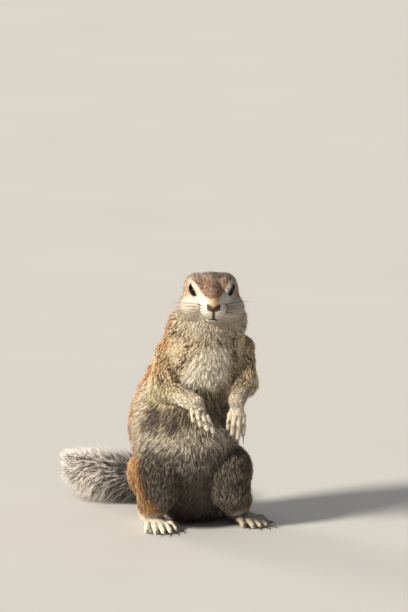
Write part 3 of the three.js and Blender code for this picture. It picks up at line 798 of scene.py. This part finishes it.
def paint_leg(paint, p, weights, name):
    leg, shares = LEGS[name], SIDE_PAINT[name]
    whole, foot = weights[f"leg_{name}"], weights[f"foot_{name}"]
    around, z = np.abs(trunk_angle(p)), p[:, 2]
    # The right thigh's dark top, carried over the belly's edge: dark hair, with painted shade.
    over = smooth_step(7, 2, leg_skin(p, name)) * smooth_step(84, 64, around) * shares["over_belly"]
    paint.add(np.maximum(whole, over * weights["trunk"]), "thigh")
    # The hip's darker colour over the left leg: painted shade.
    paint.add(whole * shares["hip"], "hip")
    way = unit((SIDES[name] * 0.9, 0.45, 0))
    outer = (p - leg["knee"]) @ way + noise(p, 12, 28) * 2.5 - shares["rust_from"]
    # Rust on the shank is the fur's own; cut on the left leg and started further out as painted shade.
    rusty = whole * shares["rust"]
    paint.add(rusty * smooth_step(5, 18, outer) * smooth_step(76, 56, z), "shank")
    paint.add(rusty * smooth_step(36, 24, z) * smooth_step(-6, 8, outer), "shank")
    paint.add(whole * smooth_step(92, 114, around + noise(p, 12, 29) * 5), "orange")
    paint.add(whole * smooth_step(18, 10, z) * smooth_step(-4, 4, outer), "hand")
    paint.add(foot, "hand")
    # Painted shade over the feet, more on the left foot.
    paint.add(foot * shares["foot_gap"], "painted_shade")
    _, toe, forward, _ = foot_frame(leg)
    ahead, level = (p - toe) @ forward, np.array((1, 1, 0))
    # Painted shade on the instep, behind the toes.
    paint.add(foot * smooth_step(-14, -24, ahead) * 0.4, "painted_shade")
    # Painted shade between the toes.
    lines = [(root * level, tip * level) for root, _, tip in toe_points(leg)]
    paint.add(foot * between_digits(p * level, lines, 3.1) * smooth_step(-17, -12, ahead), "painted_shade")


def markings(p, weights):
    """The coat's shades at points of the skin, and how bare the skin is there."""
    q, on_head = to_head(p), weights["head"]
    paint = Paint(len(p), "breast")
    paint_trunk(paint, p)
    paint_head(paint, q, on_head)
    for name in SIDES:
        paint_arm(paint, p, weights, name)
        paint_leg(paint, p, weights, name)
    lip = smooth_step(0.95, 0.45, np.abs(over_lips(q))) * smooth_step(25, 28, q[:, 1])
    lip = lip * smooth_step(5.4, 3.2, np.abs(q[:, 0])) * on_head
    concha = near_ears(q, (1.4, 1.8, -0.6), (2.4, 2.6, 3.4))
    leather, rim = nose_leather(q) * on_head, lid_rim(q) * on_head
    paint.add(leather, "nose")
    paint.add(rim, "lid")
    paint.add(lip, "lip")
    paint.add(smooth_step(0.3, -0.4, concha), "ear")
    return paint, np.maximum.reduce([leather, rim, lip, smooth_step(0.3, -0.2, concha)])

# ---------- meshes and materials ----------

# The design frame stands on the same floor as the row's frame; the eyes show how far it was moved sideways.
EYE_MIDDLE = from_head((0, EYE["place"][1], EYE["place"][2]))[0]
eye_boxes = [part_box(f"eye_{side}") for side in SIDES]
SHIFT = np.mean([np.add(low, high) / 2 for low, high in eye_boxes], axis=0) / MM - EYE_MIDDLE
SHIFT[2] = 0


def new_object(name, data):
    thing = bpy.data.objects.new(name, data)
    bpy.context.scene.collection.objects.link(thing)
    return thing


def mesh_object(name, points, faces, material, slot, shades=None, uv=None):
    """An object from points in the design frame and faces that all have the same number of corners."""
    mesh = bpy.data.meshes.new(name)
    faces = np.asarray(faces, np.int32)
    corners = faces.shape[1]
    mesh.vertices.add(len(points))
    mesh.vertices.foreach_set("co", ((np.asarray(points) + SHIFT) * MM).astype(np.float32).ravel())
    mesh.loops.add(faces.size)
    mesh.loops.foreach_set("vertex_index", faces.ravel())
    mesh.polygons.add(len(faces))
    mesh.polygons.foreach_set("loop_start", np.arange(0, faces.size, corners, dtype=np.int32))
    mesh.polygons.foreach_set("loop_total", np.full(len(faces), corners, np.int32))
    mesh.polygons.foreach_set("use_smooth", np.ones(len(faces), bool))
    mesh.update(calc_edges=True)
    if shades is not None:
        layer = mesh.color_attributes.new("shade", "FLOAT_COLOR", "POINT")
        colours = np.column_stack([shades, np.ones(len(points))])
        layer.data.foreach_set("color", colours.astype(np.float32).ravel())
    if uv is not None:
        places = mesh.uv_layers.new(name="OFBake")
        places.data.foreach_set("uv", uv[faces.ravel()].astype(np.float32).ravel())
    mesh.materials.append(material)
    thing = new_object(name, mesh)
    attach(thing, "root")
    return thing


def joined(parts):
    """One mesh made of several: points, faces, and what else the parts have for each of their points."""
    points, faces, *more = zip(*parts)
    starts = np.cumsum([0] + [len(p) for p in points])
    faces = [f + start for f, start in zip(faces, starts)]
    return [np.concatenate(arrays) for arrays in (points, faces, *more)]


class Nodes:
    """A material's node tree, with a shorter way to add and link nodes."""

    def __init__(self, name):
        self.material = bpy.data.materials.new(name)
        self.material.use_nodes = True
        self.tree = self.material.node_tree
        self.shader = self.tree.nodes["Principled BSDF"]

    def fill(self, socket, value):
        if isinstance(value, bpy.types.NodeSocket):
            self.tree.links.new(value, socket)
        else:
            socket.default_value = value

    def add(self, kind, inputs, **settings):
        node = self.tree.nodes.new(kind)
        for key, value in settings.items():
            setattr(node, key, value)
        for key, value in inputs.items():
            self.fill(node.inputs[key], value)
        return node

    def set(self, **inputs):
        for key, value in inputs.items():
            self.fill(self.shader.inputs[key.replace("_", " ")], value)

    def noise(self, scale, detail=3.0):
        place = self.add("ShaderNodeTexCoord", {}).outputs["Object"]
        inputs = {"Vector": place, "Scale": scale, "Detail": detail}
        return self.add("ShaderNodeTexNoise", inputs).outputs["Fac"]

    def ramp(self, factor, low, high):
        inputs = {"Value": factor, "From Min": 0.3, "From Max": 0.7, "To Min": low, "To Max": high}
        return self.add("ShaderNodeMapRange", inputs).outputs["Result"]

    def shade(self, factor):
        """The mesh's own shade times a factor."""
        shade = self.add("ShaderNodeAttribute", {}, attribute_name="shade").outputs["Color"]
        scale = self.add("ShaderNodeVectorMath", {0: shade, "Scale": factor}, operation="SCALE")
        return scale.outputs["Vector"]

    def mix(self, factor, a, b):
        inputs = {"Factor": factor, 6: (*a, 1), 7: (*b, 1)}
        return self.add("ShaderNodeMix", inputs, data_type="RGBA").outputs[2]

    def bump(self, height, depth):
        bump = self.add("ShaderNodeBump", {"Height": height, "Distance": depth, "Strength": 1.0})
        self.set(Normal=bump.outputs[0])


def coat_material(name, roughness):
    n = Nodes(name)
    n.set(Base_Color=n.shade(n.ramp(n.noise(700), 0.86, 1.12)),
          Roughness=n.ramp(n.noise(350), roughness - 0.06, roughness + 0.08),
          Specular_IOR_Level=0.28, Sheen_Weight=0.12, Sheen_Roughness=0.5)
    return n.material


def skin_material():
    n = Nodes("skin")
    fine = n.noise(2600, 4)
    n.set(Base_Color=n.shade(n.ramp(fine, 0.72, 1.18)), Roughness=n.ramp(fine, 0.55, 0.8),
          Specular_IOR_Level=0.3)
    n.bump(fine, 0.00025)
    return n.material


GRAINS = {  # the noise's scale and detail, and its two colours
    "horn": (1800, 4, (0.018, 0.012, 0.009), (0.085, 0.060, 0.042)),
    "eye": (420, 2, (0.0012, 0.001, 0.001), (0.005, 0.003, 0.002)),
    "whisker": (300, 2, (0.012, 0.010, 0.008), (0.06, 0.045, 0.035)),
    "floor": (6, 2, (0.54, 0.53, 0.51), (0.58, 0.57, 0.55)),
}


def grained(name):
    """A material in two colours that follow a noise, and the noise."""
    scale, detail, low, high = GRAINS[name]
    n = Nodes(name)
    grain = n.noise(scale, detail)
    n.set(Base_Color=n.mix(grain, low, high))
    return n, grain


def horn_material():
    n, grain = grained("horn")
    n.set(Roughness=n.ramp(grain, 0.28, 0.45))
    n.bump(grain, 0.00008)
    return n.material


def eye_material():
    n, grain = grained("eye")
    n.set(Roughness=n.ramp(grain, 0.03, 0.06), IOR=1.1)
    return n.material


def whisker_material():
    n, _ = grained("whisker")
    n.set(Roughness=0.45)
    return n.material


# ---------- the coat: tufts over the skin ----------

FAMILIES = {  # how many pieces, roughness, and side of the cells whose hairs are dark or light together
    "head_coat": (2, 0.72, 1.0), "tail_coat": (2, 0.66, None), "body_coat": (5, 0.72, 1.25)}
CHARTS = {  # a limb's rectangle on the body's map, on the right side: left edge, width, low edge, height
    "leg": (0.57, 0.22, 0, 0.48), "foot": (0.81, 0.08, 0, 0.23), "hand": (0.81, 0.08, 0.25, 0.23),
    "upper_arm": (0.9, 0.09, 0, 0.48), "forearm": (0.9, 0.09, 0, 0.48)}
TRUNK_CHART = (0.55, 1)
HAIR = {  # length and width in millimetres, lift in degrees, tufts to a square millimetre
    "trunk": (7.4, 0.37, 20, 2.0), "head": (0, 0, 0, 0), "tail": (20, 0.5, 30, 4.6),
    "upper_arm": (5.4, 0.42, 24, 2.5), "forearm": (4.9, 0.38, 20, 2.7), "hand": (1.7, 0.26, 16, 6.0),
    "leg": (6.2, 0.36, 18, 2.1), "foot": (1.1, 0.23, 10, 5.0)}
SHOULDER_HAIR = (4.6, 0.42, 25, 2.7)
SHORT_HAIR = 3.6  # shorter tufts than this are straight
STRAY_HAIR = 0.07  # share of the hairs that stand off the rest
SUNK = 0.25  # how deep the roots are under the skin
LOCK = 2.1  # side of the cells whose long hairs lean together


def turn_share(y, x):
    """The angle of the direction (x, y), as a share of a full turn."""
    return np.arctan2(y, x) / (2 * math.pi) + 0.5


def sphere_chart(q):
    """Place on an unwrap of the head, opened round its long axis."""
    way = unit(q)
    return np.stack([turn_share(way[:, 0], -way[:, 2]), np.arccos(way[:, 1]) / math.pi], 1)


def bone_chart(p, *joints):
    """Place on an unwrap of a limb: angle round its bones, and distance along them."""
    before, after = 8, 14  # how far the map goes on past the ends
    best, u, v, run = np.full(len(p), 1e9), np.zeros(len(p)), np.zeros(len(p)), 0.0
    for a, b in zip(joints, joints[1:]):
        way, length = unit(b - a), np.linalg.norm(b - a)
        x = unit(np.cross(way, (0.3, 0.2, 0.9)))
        y = np.cross(way, x)
        d = capsule(p, a, 0, b, 0)
        near = d < best
        off = p - a
        u = np.where(near, turn_share(off @ y, off @ x), u)
        v = np.where(near, run + np.clip(off @ way, -before, length + after), v)
        best = np.minimum(best, d)
        run += length
    return np.stack([u, (v + before) / (run + before + after)], 1)


def body_chart(p, group):
    """One map for trunk and limbs: each has a rectangle of its own, the left limbs in the upper half."""
    side, forward, *_ = trunk_place(p)
    uv = np.stack([turn_share(side, forward), np.clip(p[:, 2] / 185, 0, 1)], 1) * TRUNK_CHART
    for row, (name, leg) in enumerate(LEGS.items()):
        arm = ARMS[name]["bones"]
        joints = {"leg": (leg["hip"], leg["knee"], leg["ankle"]), "foot": foot_frame(leg)[:2],
                  "upper_arm": arm, "forearm": arm, "hand": (arm[2], ARMS[name]["tips"].mean(0))}
        for part, (left, width, low, high) in CHARTS.items():
            here = GROUPS.index(f"{part}_{name}") == group
            place = bone_chart(p, *joints[part]) * (width, high) + (left, row * 0.5 + low)
            uv = np.where(here[:, None], place, uv)
    return uv


def tail_chart(p):
    share, ways, _, centre = tail_place(p)
    off = p - centre
    across = np.stack([ways[:, 1], -ways[:, 0]], 1)
    return np.stack([turn_share(off[:, 2], (off[:, :2] * across).sum(1)), share], 1)


def coat_measures(p, weights, draw=None):
    """Length, width and lift in degrees of the tufts, and how many there are to a square millimetre.

    Where short and long hair meet, `draw` settles for each point which of the two it has.
    """
    q = to_head(p)
    face = smooth_step(2, 20, q[:, 1])
    low = smooth_step(-8, -22, q[:, 2])
    parts = {name: name.removesuffix("_left").removesuffix("_right") for name in GROUPS}
    measures = sum(weights[name][:, None] * np.array(HAIR[part], float) for name, part in parts.items())
    around = np.abs(trunk_angle(p))
    short = weights["trunk"] * (1 - breast_patch(p)) * smooth_step(110, 124, p[:, 2] + noise(p, 14, 51) * 2)
    short = short * smooth_step(108, 76, around)
    if draw is not None:
        short = (draw < short) * weights["trunk"]
    measures += short[:, None] * (SHOULDER_HAIR - measures)
    w = weights["head"]
    measures[:, 0] += w * (2.6 - 1.4 * face + 1.0 * low * (1 - 0.4 * face))
    crown = smooth_step(-2.5, 0.5, seen_height(q))
    measures[:, 0] += w * crown * face * 0.7
    measures[:, 1] += w * (0.34 - 0.12 * face + 0.04 * low + 0.12 * crown)
    measures[:, 2] += w * (20 - 6 * face + 4 * low + 6 * crown)
    measures[:, 3] += w * (6.4 + 6.6 * face - 1.8 * low - 3.5 * crown * face)
    for side in SIDES:  # shorter in the folds between limb and trunk
        limb = weights[f"leg_{side}"] + weights[f"upper_arm_{side}"] + weights[f"forearm_{side}"]
        measures[:, 0] *= 1 - 0.5 * np.minimum(4 * weights["trunk"] * limb, 1)
    measures[:, 0] += 1.6 * elbow_tuft(p, weights)
    measures[:, 0] *= 1 - 0.72 * w * smooth_step(1.5, -0.5, near_ears(q, (0.6, 0.6, 0.3), (4, 4.6, 5.4)))
    flank = smooth_step(100, 110, p[:, 2]) * smooth_step(142, 130, p[:, 2]) * smooth_step(60, 76, around)
    flank = flank * smooth_step(130, 112, around) * weights["trunk"]
    measures[:, 0] += 1.4 * flank
    measures[:, 2] += 12 * flank
    fringe = smooth_step(22, 12, p[:, 2]) * weights["trunk"]
    measures[:, 0] += 2.5 * fringe
    measures[:, 2] += 14 * fringe
    sole = smooth_step(4, 1, p[:, 2]) * (weights["trunk"] + weights["leg_left"] + weights["leg_right"])
    measures[:, 0] *= 1 - 0.5 * sole
    return measures.T


def scatter_roots(points, faces, normals, density):
    """Roots over the skin, as many to a square millimetre as the density of its points says."""
    corners = np.concatenate([faces[:, [0, 1, 2]], faces[:, [0, 2, 3]]])
    a, b, c = (points[corners[:, i]] for i in range(3))
    area = np.linalg.norm(np.cross(b - a, c - a), axis=1) / 2
    wanted = area * density[corners].mean(1)
    total = int(wanted.sum())
    chosen = np.searchsorted(np.cumsum(wanted), rng.random(total) * wanted.sum())
    chosen = np.minimum(chosen, len(corners) - 1)
    share = rng.random((total, 2))
    fold = share.sum(1) > 1
    share[fold] = 1 - share[fold]
    shares = np.column_stack([1 - share.sum(1), share])
    corners = corners[chosen]
    return [(values[corners] * shares[:, :, None]).sum(1) for values in (points, normals)]


def tuft_mesh(rings, across, over, widths, shades, places, lie):
    """Closed, tapering, three-sided blades. rings: (n, k + 1, 3), the last one the tip; shades alike."""
    n, k = rings.shape[0], rings.shape[1] - 1
    middle = rings[:, :k]
    half = widths[:, :, None] / 2
    left, right = middle - across[:, None] * half, middle + across[:, None] * half
    ridge = middle + over[:, None] * half * 0.9
    points = np.concatenate([np.stack([left, right, ridge], 2).reshape(n, 3 * k, 3), rings[:, k:]], 1)
    each = 3 * k + 1
    faces = [(0, 1, 2)]
    for ring in range(k - 1):
        for c in range(3):
            a, b = 3 * ring + c, 3 * ring + (c + 1) % 3
            faces += [(a, a + 3, b), (b, a + 3, b + 3)]
    last = 3 * (k - 1)
    faces += [(last + c, each - 1, last + (c + 1) % 3) for c in range(3)]
    faces = (np.array(faces)[None] + (np.arange(n) * each)[:, None, None]).reshape(-1, 3)
    colour = np.concatenate([np.repeat(shades[:, :k], 3, axis=1), shades[:, k:]], 1)
    spread = 0.0015  # half the size of a blade on the map
    along = np.concatenate([np.repeat(np.arange(k) / k, 3), [1.0]]) * 2 - 1
    aside = np.concatenate([np.tile((-1.0, 1.0, 0.0), k), [0.0]])
    turned = np.stack([-lie[:, 1], lie[:, 0]], 1)
    way = along[None, :, None] * lie[:, None] + aside[None, :, None] * turned[:, None]
    uv = places[:, None] + spread * way
    return points.reshape(-1, 3), faces, colour.reshape(-1, 3), uv.reshape(-1, 2)


def cell_of(p, size):
    """The middle of the grid cell that a point is in, and a number from 0 to 1 that belongs to that cell."""
    cell = np.floor(p / size).astype(np.int64)
    code = (cell[:, 0] * 73856093) ^ (cell[:, 1] * 19349663) ^ (cell[:, 2] * 83492791)
    code = (code * 1103515245 + 12345) & 0x7FFFFFFF
    code = ((code >> 7) * 1664525 + 1013904223) & 0x7FFFFFFF
    return (cell + 0.5) * size, code / 0x7FFFFFFF


def pick_shades(tip, paint_shades, mix, speckle):
    """For each tuft, the middle shade and its own: the middle one, or that of the dark or the light hairs."""
    n = len(mix)
    draw = np.where(rng.random(n) < 0.85, cell_of(tip, speckle)[1], rng.random(n))
    kind = np.where(draw < mix[:, 0], 1, np.where(draw > 1 - mix[:, 1], 2, 0))
    own = paint_shades[np.arange(n), kind]
    middle = paint_shades[:, 0]
    own = own * rng.uniform(0.9, 1.1, (n, 1)) + (middle - own) * rng.uniform(0, 0.15, (n, 1))
    return middle, own


def root_underfur_and_shade(shades):
    """The factor that darkens the coat at its roots, underfur and painted shade: nearest 1 where it is pale.
    """
    return 0.55 + 0.38 * np.minimum(shades.mean(1, keepdims=True) / 0.6, 1)


def grow_tufts(root, normal, flow, measures, paint, speckle, straight):
    """Blades for head, body and limbs: short ones straight, long ones bent once and gathered in locks."""
    length, width, lift, _ = measures
    n = len(root)
    length = length * rng.uniform(0.72, 1.18, n)
    stray = rng.random(n) < STRAY_HAIR
    lift = np.radians(np.clip(lift + rng.normal(0, 6, n) + stray * rng.uniform(8, 24, n), 4, 60))
    width = width * np.where(stray, 0.7, 1.0)
    along = flow * np.cos(lift)[:, None]
    up = normal * np.sin(lift)[:, None]
    sunk = root - normal * SUNK
    tip = sunk + (along + up * (1.0 if straight else 0.85)) * length[:, None]
    middle, own = pick_shades(tip, *paint, speckle)
    # The roots are darker: the underfur's own tone, and painted shade deep in the coat.
    roots = middle * root_underfur_and_shade(middle)
    if straight:
        rings, sizes, shades = [sunk, tip], [1.0], [(roots + own) / 2, own]
    else:
        gather = (cell_of(root, LOCK)[0] - root) * 0.34
        gather -= normal * (gather * normal).sum(1, keepdims=True)
        bent = sunk + (along * 0.48 + up * 0.62) * length[:, None] + gather * 0.4
        rings, sizes, shades = [sunk, bent, tip + gather], [0.85, 1.0], [roots, own * 0.96, own * 1.06]
    rings = np.stack(rings, 1)
    rings[:, :, 2] = np.maximum(rings[:, :, 2], 0.3 + 0.1 * np.arange(rings.shape[1]))
    across = unit(np.cross(flow, normal))
    widths = width[:, None] * np.array(sizes) * rng.uniform(0.8, 1.2, (n, 1))
    return rings, across, normal, widths, np.clip(np.stack(shades, 1), 0, 1)


TAIL_HAIR_WIDTH, TAIL_HAIR_BOW = 0.52, 2.2  # and how far a hair bows off the straight line to its tip
TAIL_RINGS = (0.0, 0.34, 0.62, 1.0)  # places along a hair
TAIL_BANDS = {  # how white the hair is at those places, for banded hairs and for hairs with a long white end
    "banded": (0.5, 0.9, 0.02, 0.97), "frosted": (0.45, 0.02, 0.92, 1.0)}


def grow_tail(root, normal):
    """The tail's long hair: it leaves the core slantwise, spreads over the floor and reaches less far up."""
    share, ways, reach, centre = tail_place(root)
    middle, half, top = reach.T
    n = len(root)
    across = np.stack([ways[:, 1], -ways[:, 0], np.zeros(n)], 1)
    around = np.arctan2(normal[:, 2], (normal * across).sum(1)) + rng.normal(0, 0.2, n)
    fill = rng.uniform(0.55, 1.0, n) ** 0.6
    flat = np.sign(np.cos(around)) * np.abs(np.cos(around)) ** 0.8
    droop = smooth_step(0.2, 1.0, np.abs(flat)) * 0.8 * smooth_step(0.9, 0.5, share)
    run = (22 - 12 * share) * rng.uniform(0.55, 1.15, n)
    wander = np.stack([noise(root, 13, seed) for seed in (41, 42, 43)], 1) * 1.2
    ahead = ways * (run + ((root - centre) * ways).sum(1))[:, None]
    tip = centre + ahead + across * (half * flat * fill * 0.97)[:, None] + wander
    tip[:, 2] = middle * (1 - droop) + (top - middle) * np.sin(around) * fill + wander[:, 2]
    tip[:, 2] = np.maximum(tip[:, 2], 0.5)
    rings = []
    for t in TAIL_RINGS:
        point = root + (tip - root) * t + normal * (math.sin(math.pi * t) * TAIL_HAIR_BOW)
        point[:, 2] = np.maximum(point[:, 2], 0.4)
        rings.append(point)
    rings = np.stack(rings, 1)
    side = unit(np.cross(tip - root, normal))
    widths = (TAIL_HAIR_WIDTH * rng.uniform(0.7, 1.2, n))[:, None] * np.array((0.85, 1.0, 0.8))
    frosted = rng.random(n) < 0.1 + 0.85 * smooth_step(0.5, 0.95, share)
    white = np.where(frosted[:, None], TAIL_BANDS["frosted"], TAIL_BANDS["banded"])
    shade = 1 - 0.9 * (rng.random(n) < 0.07 + 0.83 * smooth_step(0.94, 0.5, share))
    white = np.clip(white * shade[:, None] + rng.normal(0, 0.07, white.shape), 0, 1)[:, :, None]
    shades = TAIL_BLACK + (TAIL_WHITE - TAIL_BLACK) * white
    # Painted shade: hairs whose tips lie low, save near the tail's end, are darker.
    below = smooth_step(18, 4, tip[:, 2]) * smooth_step(0.98, 0.6, share)
    shades = shades * (1 - 0.55 * below)[:, None, None]
    return rings, side, normal, widths, np.clip(shades, 0, 1)


def build_coat(points, faces, normals):
    weights = group_weights(points)
    bare = markings(points, weights)[1]
    floor_free = smooth_step(0.6, 2.0, points[:, 2] + 4 * np.maximum(normals[:, 2] + 0.5, 0))
    density = coat_measures(points, weights)[3] * (1 - smooth_step(0.2, 0.6, bare)) * floor_free
    root, normal = scatter_roots(points, faces, normals, density)
    normal = unit(normal)
    weights = group_weights(root)
    group = np.argmax(np.stack([weights[name] for name in GROUPS]), 0)
    paint, _ = markings(root, weights)
    measures = coat_measures(root, weights, rng.random(len(root)))
    flow = coat_flow(root, normal, weights)
    on_head = (group == GROUPS.index("head")) & (to_head(root)[:, 2] > -24)
    on_tail = (group == GROUPS.index("tail")) & (tail_place(root)[0] > 0.015)
    masks = {"head_coat": on_head, "tail_coat": on_tail, "body_coat": ~(on_head | on_tail)}
    charts = {"head_coat": lambda p, g: sphere_chart(to_head(p)), "body_coat": body_chart,
              "tail_coat": lambda p, g: tail_chart(p)}
    for family, (layers, roughness, speckle) in FAMILIES.items():
        material, chart = coat_material(family, roughness), charts[family]
        at = np.flatnonzero(masks[family])
        at = at[rng.permutation(len(at))]
        for layer, part in enumerate(np.array_split(at, layers)):
            short = measures[0][part] < SHORT_HAIR
            kinds = [(part, False)] if family == "tail_coat" else [(part[short], True), (part[~short], False)]
            pieces = []
            for some, straight in kinds:
                if family == "tail_coat":
                    blades = grow_tail(root[some], normal[some])
                else:
                    shades = (paint.shades[some], paint.mix[some])
                    blades = grow_tufts(root[some], normal[some], flow[some], measures[:, some],
                                        shades, speckle, straight)
                places = chart(root[some], group[some])
                lie = unit(chart(root[some] + flow[some] * 0.5, group[some]) - places)
                pieces.append(tuft_mesh(*blades, places, lie))
            blade_points, blade_faces, colours, uv = joined(pieces)
            mesh_object(f"{family}_{layer + 1}", blade_points, blade_faces, material, family, colours,
                        np.clip(uv, 0, 1))


# ---------- eyes, claws and whiskers ----------


EYEBALL_RADIUS = EYE["radius"] - 0.1  # a little less than that of the ball the lids are built round
FINGER_CLAW = {"length": 6.6, "radius": 0.75, "droop": 1.2}
TOE_CLAW = {"length": 8.6, "radius": 0.8, "droop": 1.7}  # of the middle toe; the others' are shorter
WHISKER_ROWS, WHISKER_COLUMNS = 4, 5


def ball_mesh(radius, rings=24, sides=36):
    turns = np.linspace(0, math.pi, rings + 1)[1:-1]
    angles = np.arange(sides) * 2 * math.pi / sides
    body = np.stack([np.outer(np.sin(turns), np.cos(angles)), np.outer(np.sin(turns), np.sin(angles)),
                     np.outer(np.cos(turns), np.ones(sides))], -1).reshape(-1, 3)
    points = np.concatenate([body, [(0, 0, 1), (0, 0, -1)]]) * radius
    faces = []
    for i in range(rings - 2):
        for j in range(sides):
            a, b = i * sides + j, i * sides + (j + 1) % sides
            faces += [(a, a + sides, b + sides), (a, b + sides, b)]
    top, bottom, last = len(points) - 2, len(points) - 1, (rings - 2) * sides
    for j in range(sides):
        faces += [(top, j, (j + 1) % sides), (bottom, last + (j + 1) % sides, last + j)]
    return points, np.array(faces)


def tube_mesh(line, radii, sides, flat=1.0, up=(0, 0, 1.0)):
    """A closed tapering tube along a line that ends in a point."""
    line, radii = np.asarray(line, float), np.asarray(radii, float)
    ways = unit(np.gradient(line, axis=0))
    x = unit(np.cross(ways, unit(up)))
    y = np.cross(x, ways)
    angles = np.arange(sides) * 2 * math.pi / sides
    rings = line[:-1, None] + radii[:-1, None, None] * (
        np.cos(angles)[None, :, None] * x[:-1, None] * flat + np.sin(angles)[None, :, None] * y[:-1, None])
    points = np.concatenate([rings.reshape(-1, 3), line[-1:], line[:1]])
    k, faces = len(line) - 1, []
    for i in range(k - 1):
        for j in range(sides):
            a, b = i * sides + j, i * sides + (j + 1) % sides
            faces += [(a, b, b + sides), (a, b + sides, a + sides)]
    for j in range(sides):
        a, b = (k - 1) * sides + j, (k - 1) * sides + (j + 1) % sides
        faces += [(a, b, len(points) - 2), ((j + 1) % sides, j, len(points) - 1)]
    return points, np.array(faces)


def build_eyes(material):
    for side, sign in SIDES.items():
        points, faces = ball_mesh(EYEBALL_RADIUS)
        points = points + from_head(paired(EYE["place"], sign))
        eye = mesh_object(f"eyeball_{side}", points, faces, material, "eye_gloss")
        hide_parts(f"eye_{side}")


def claw_mesh(tip, direction, length, radius, droop):
    """A claw from just inside the digit's tip, arched and then drooping at its point."""
    shares = np.linspace(0, 1, 9)
    start = tip - direction * radius * 0.6
    line = start + np.outer(shares * (length + radius), direction)
    line[:, 2] += droop * (0.35 * np.sin(shares * math.pi) * 1.4 - shares ** 2)
    return tube_mesh(line, radius * (1 - shares ** 1.5) + 0.02, 10, flat=0.72)


def build_claws(material):
    for side in SIDES:
        arm, leg = ARMS[side], LEGS[side]
        fingers = []
        for knuckle, tip in zip(arm["knuckles"], arm["tips"]):
            direction = unit(tip - knuckle)
            fingers.append(claw_mesh(tip + direction * 0.8, direction, **FINGER_CLAW))
        claws = mesh_object(f"hand_claws_{side}", *joined(fingers), material, "horn")
        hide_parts(*[f"hand_{side}_claw_{i + 1}" for i in range(4)])
        toes = []
        for i, (root, _, tip) in enumerate(toe_points(leg)):
            direction = unit((tip - root) * (1, 1, 0))
            claw = {**TOE_CLAW, "length": TOE_CLAW["length"] - abs(i - 2)}
            toes.append(claw_mesh(tip + direction * 1.2 + (0, 0, 0.5), direction, **claw))
        claws = mesh_object(f"foot_claws_{side}", *joined(toes), material, "horn")
        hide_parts(*[f"foot_{side}_claw_{i + 1}" for i in range(5)])


def build_whiskers(material):
    """Rows of long hairs on the whisker pads."""
    hairs = []
    for sign in SIDES.values():
        for row in range(WHISKER_ROWS):
            for column in range(WHISKER_COLUMNS):
                root = np.array((sign * (6.2 + 0.75 * column), 33.0 - 1.9 * column, -2.4 - 1.8 * row))
                length = (15 + 2.6 * column) * (1 - 0.07 * row) * rng.uniform(0.85, 1.1)
                ahead = -0.22 - 0.10 * column + rng.normal(0, 0.05)
                way = unit((sign * 1.0, ahead, 0.16 - 0.12 * row + rng.normal(0, 0.04)))
                t = np.linspace(0, 1, 9)[:, None]
                line = root + way * length * t + np.array((0, -0.22 * length, -0.16 * length)) * t ** 2
                hairs.append(tube_mesh(from_head(line), np.linspace(0.16, 0.02, 9), 5))
    mesh_object("whiskers", *joined(hairs), material, "whisker")


# ---------- build ----------

skin_points, skin_faces, skin_normals = build_skin()
skin_weights = group_weights(skin_points)
skin_paint, skin_bare = markings(skin_points, skin_weights)
# The skin under the coat takes the coat's middle shade, darkened as at the roots; bare skin keeps its own.
middle_shades = skin_paint.shades[:, 0]
skin_shades = middle_shades * np.maximum(root_underfur_and_shade(middle_shades) + 0.06, skin_bare[:, None])
on_tail = skin_weights["tail"][:, None]
skin_shades = skin_shades * (1 - on_tail) + TAIL_WHITE * 0.5 * on_tail
skin = mesh_object("skin", skin_points, skin_faces, skin_material(), "bare_skin", skin_shades)
FLESH = [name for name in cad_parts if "claw" not in name and not name.startswith("eye")]
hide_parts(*FLESH)
build_coat(skin_points, skin_faces, skin_normals)
build_eyes(eye_material())
build_claws(horn_material())
build_whiskers(whisker_material())

# ---------- floor, light and camera ----------


def look_from(thing, place, target):
    way = np.asarray(target, float) - np.asarray(place, float)
    thing.location = place
    thing.rotation_mode = "QUATERNION"
    thing.rotation_quaternion = Vector(way).to_track_quat("-Z", "Y")


def sun_light(name, place, spread, strength, colour):
    """A wide soft lamp, far off in the direction of the place."""
    lamp = bpy.data.lights.new(name, "SUN")
    lamp.energy, lamp.angle, lamp.color = strength, math.radians(spread), colour
    look_from(new_object(name, lamp), np.array(place, float), (0, 0, 0))


def build_floor():
    n, _ = grained("floor")
    n.set(Roughness=0.9)
    mesh = bpy.data.meshes.new("floor")
    mesh.from_pydata([(-6, -4, 0), (6, -4, 0), (6, 9, 0), (-6, 9, 0)], [], [(0, 1, 2, 3)])
    mesh.materials.append(n.material)
    floor = new_object("floor", mesh)


build_floor()
LAMPS = {  # the direction it is in, how wide it looks in degrees, its strength and colour
    "key": ((-0.733, -0.52, 0.458), 12, 6.0, (1.0, 0.92, 0.80)),
    "rim": ((-0.66, 0.66, 0.36), 20, 1.0, (1.0, 0.88, 0.72)),
}
for name, lamp in LAMPS.items():
    sun_light(name, *lamp)

world = bpy.data.worlds.new("studio")
world.use_nodes = True
background = world.node_tree.nodes["Background"].inputs
background["Color"].default_value = (0.80, 0.84, 0.90, 1)
background["Strength"].default_value = 0.34
bpy.context.scene.world = world
bpy.context.scene.view_settings.view_transform = "Standard"

CAMERA = {"distance": 4.0, "elevation": math.radians(10), "lens": 322.3, "target": (-0.0029, 0, 0.16675)}
camera = bpy.data.cameras.new("camera")
camera.lens, camera.sensor_width, camera.clip_end = CAMERA["lens"], 36, 60
viewer = new_object("camera", camera)
target = np.array(CAMERA["target"]) + SHIFT * MM
back = np.array((0, -math.cos(CAMERA["elevation"]), math.sin(CAMERA["elevation"])))
look_from(viewer, target + back * CAMERA["distance"], target)
bpy.context.scene.camera = viewer

bpy.context.view_layer.update()
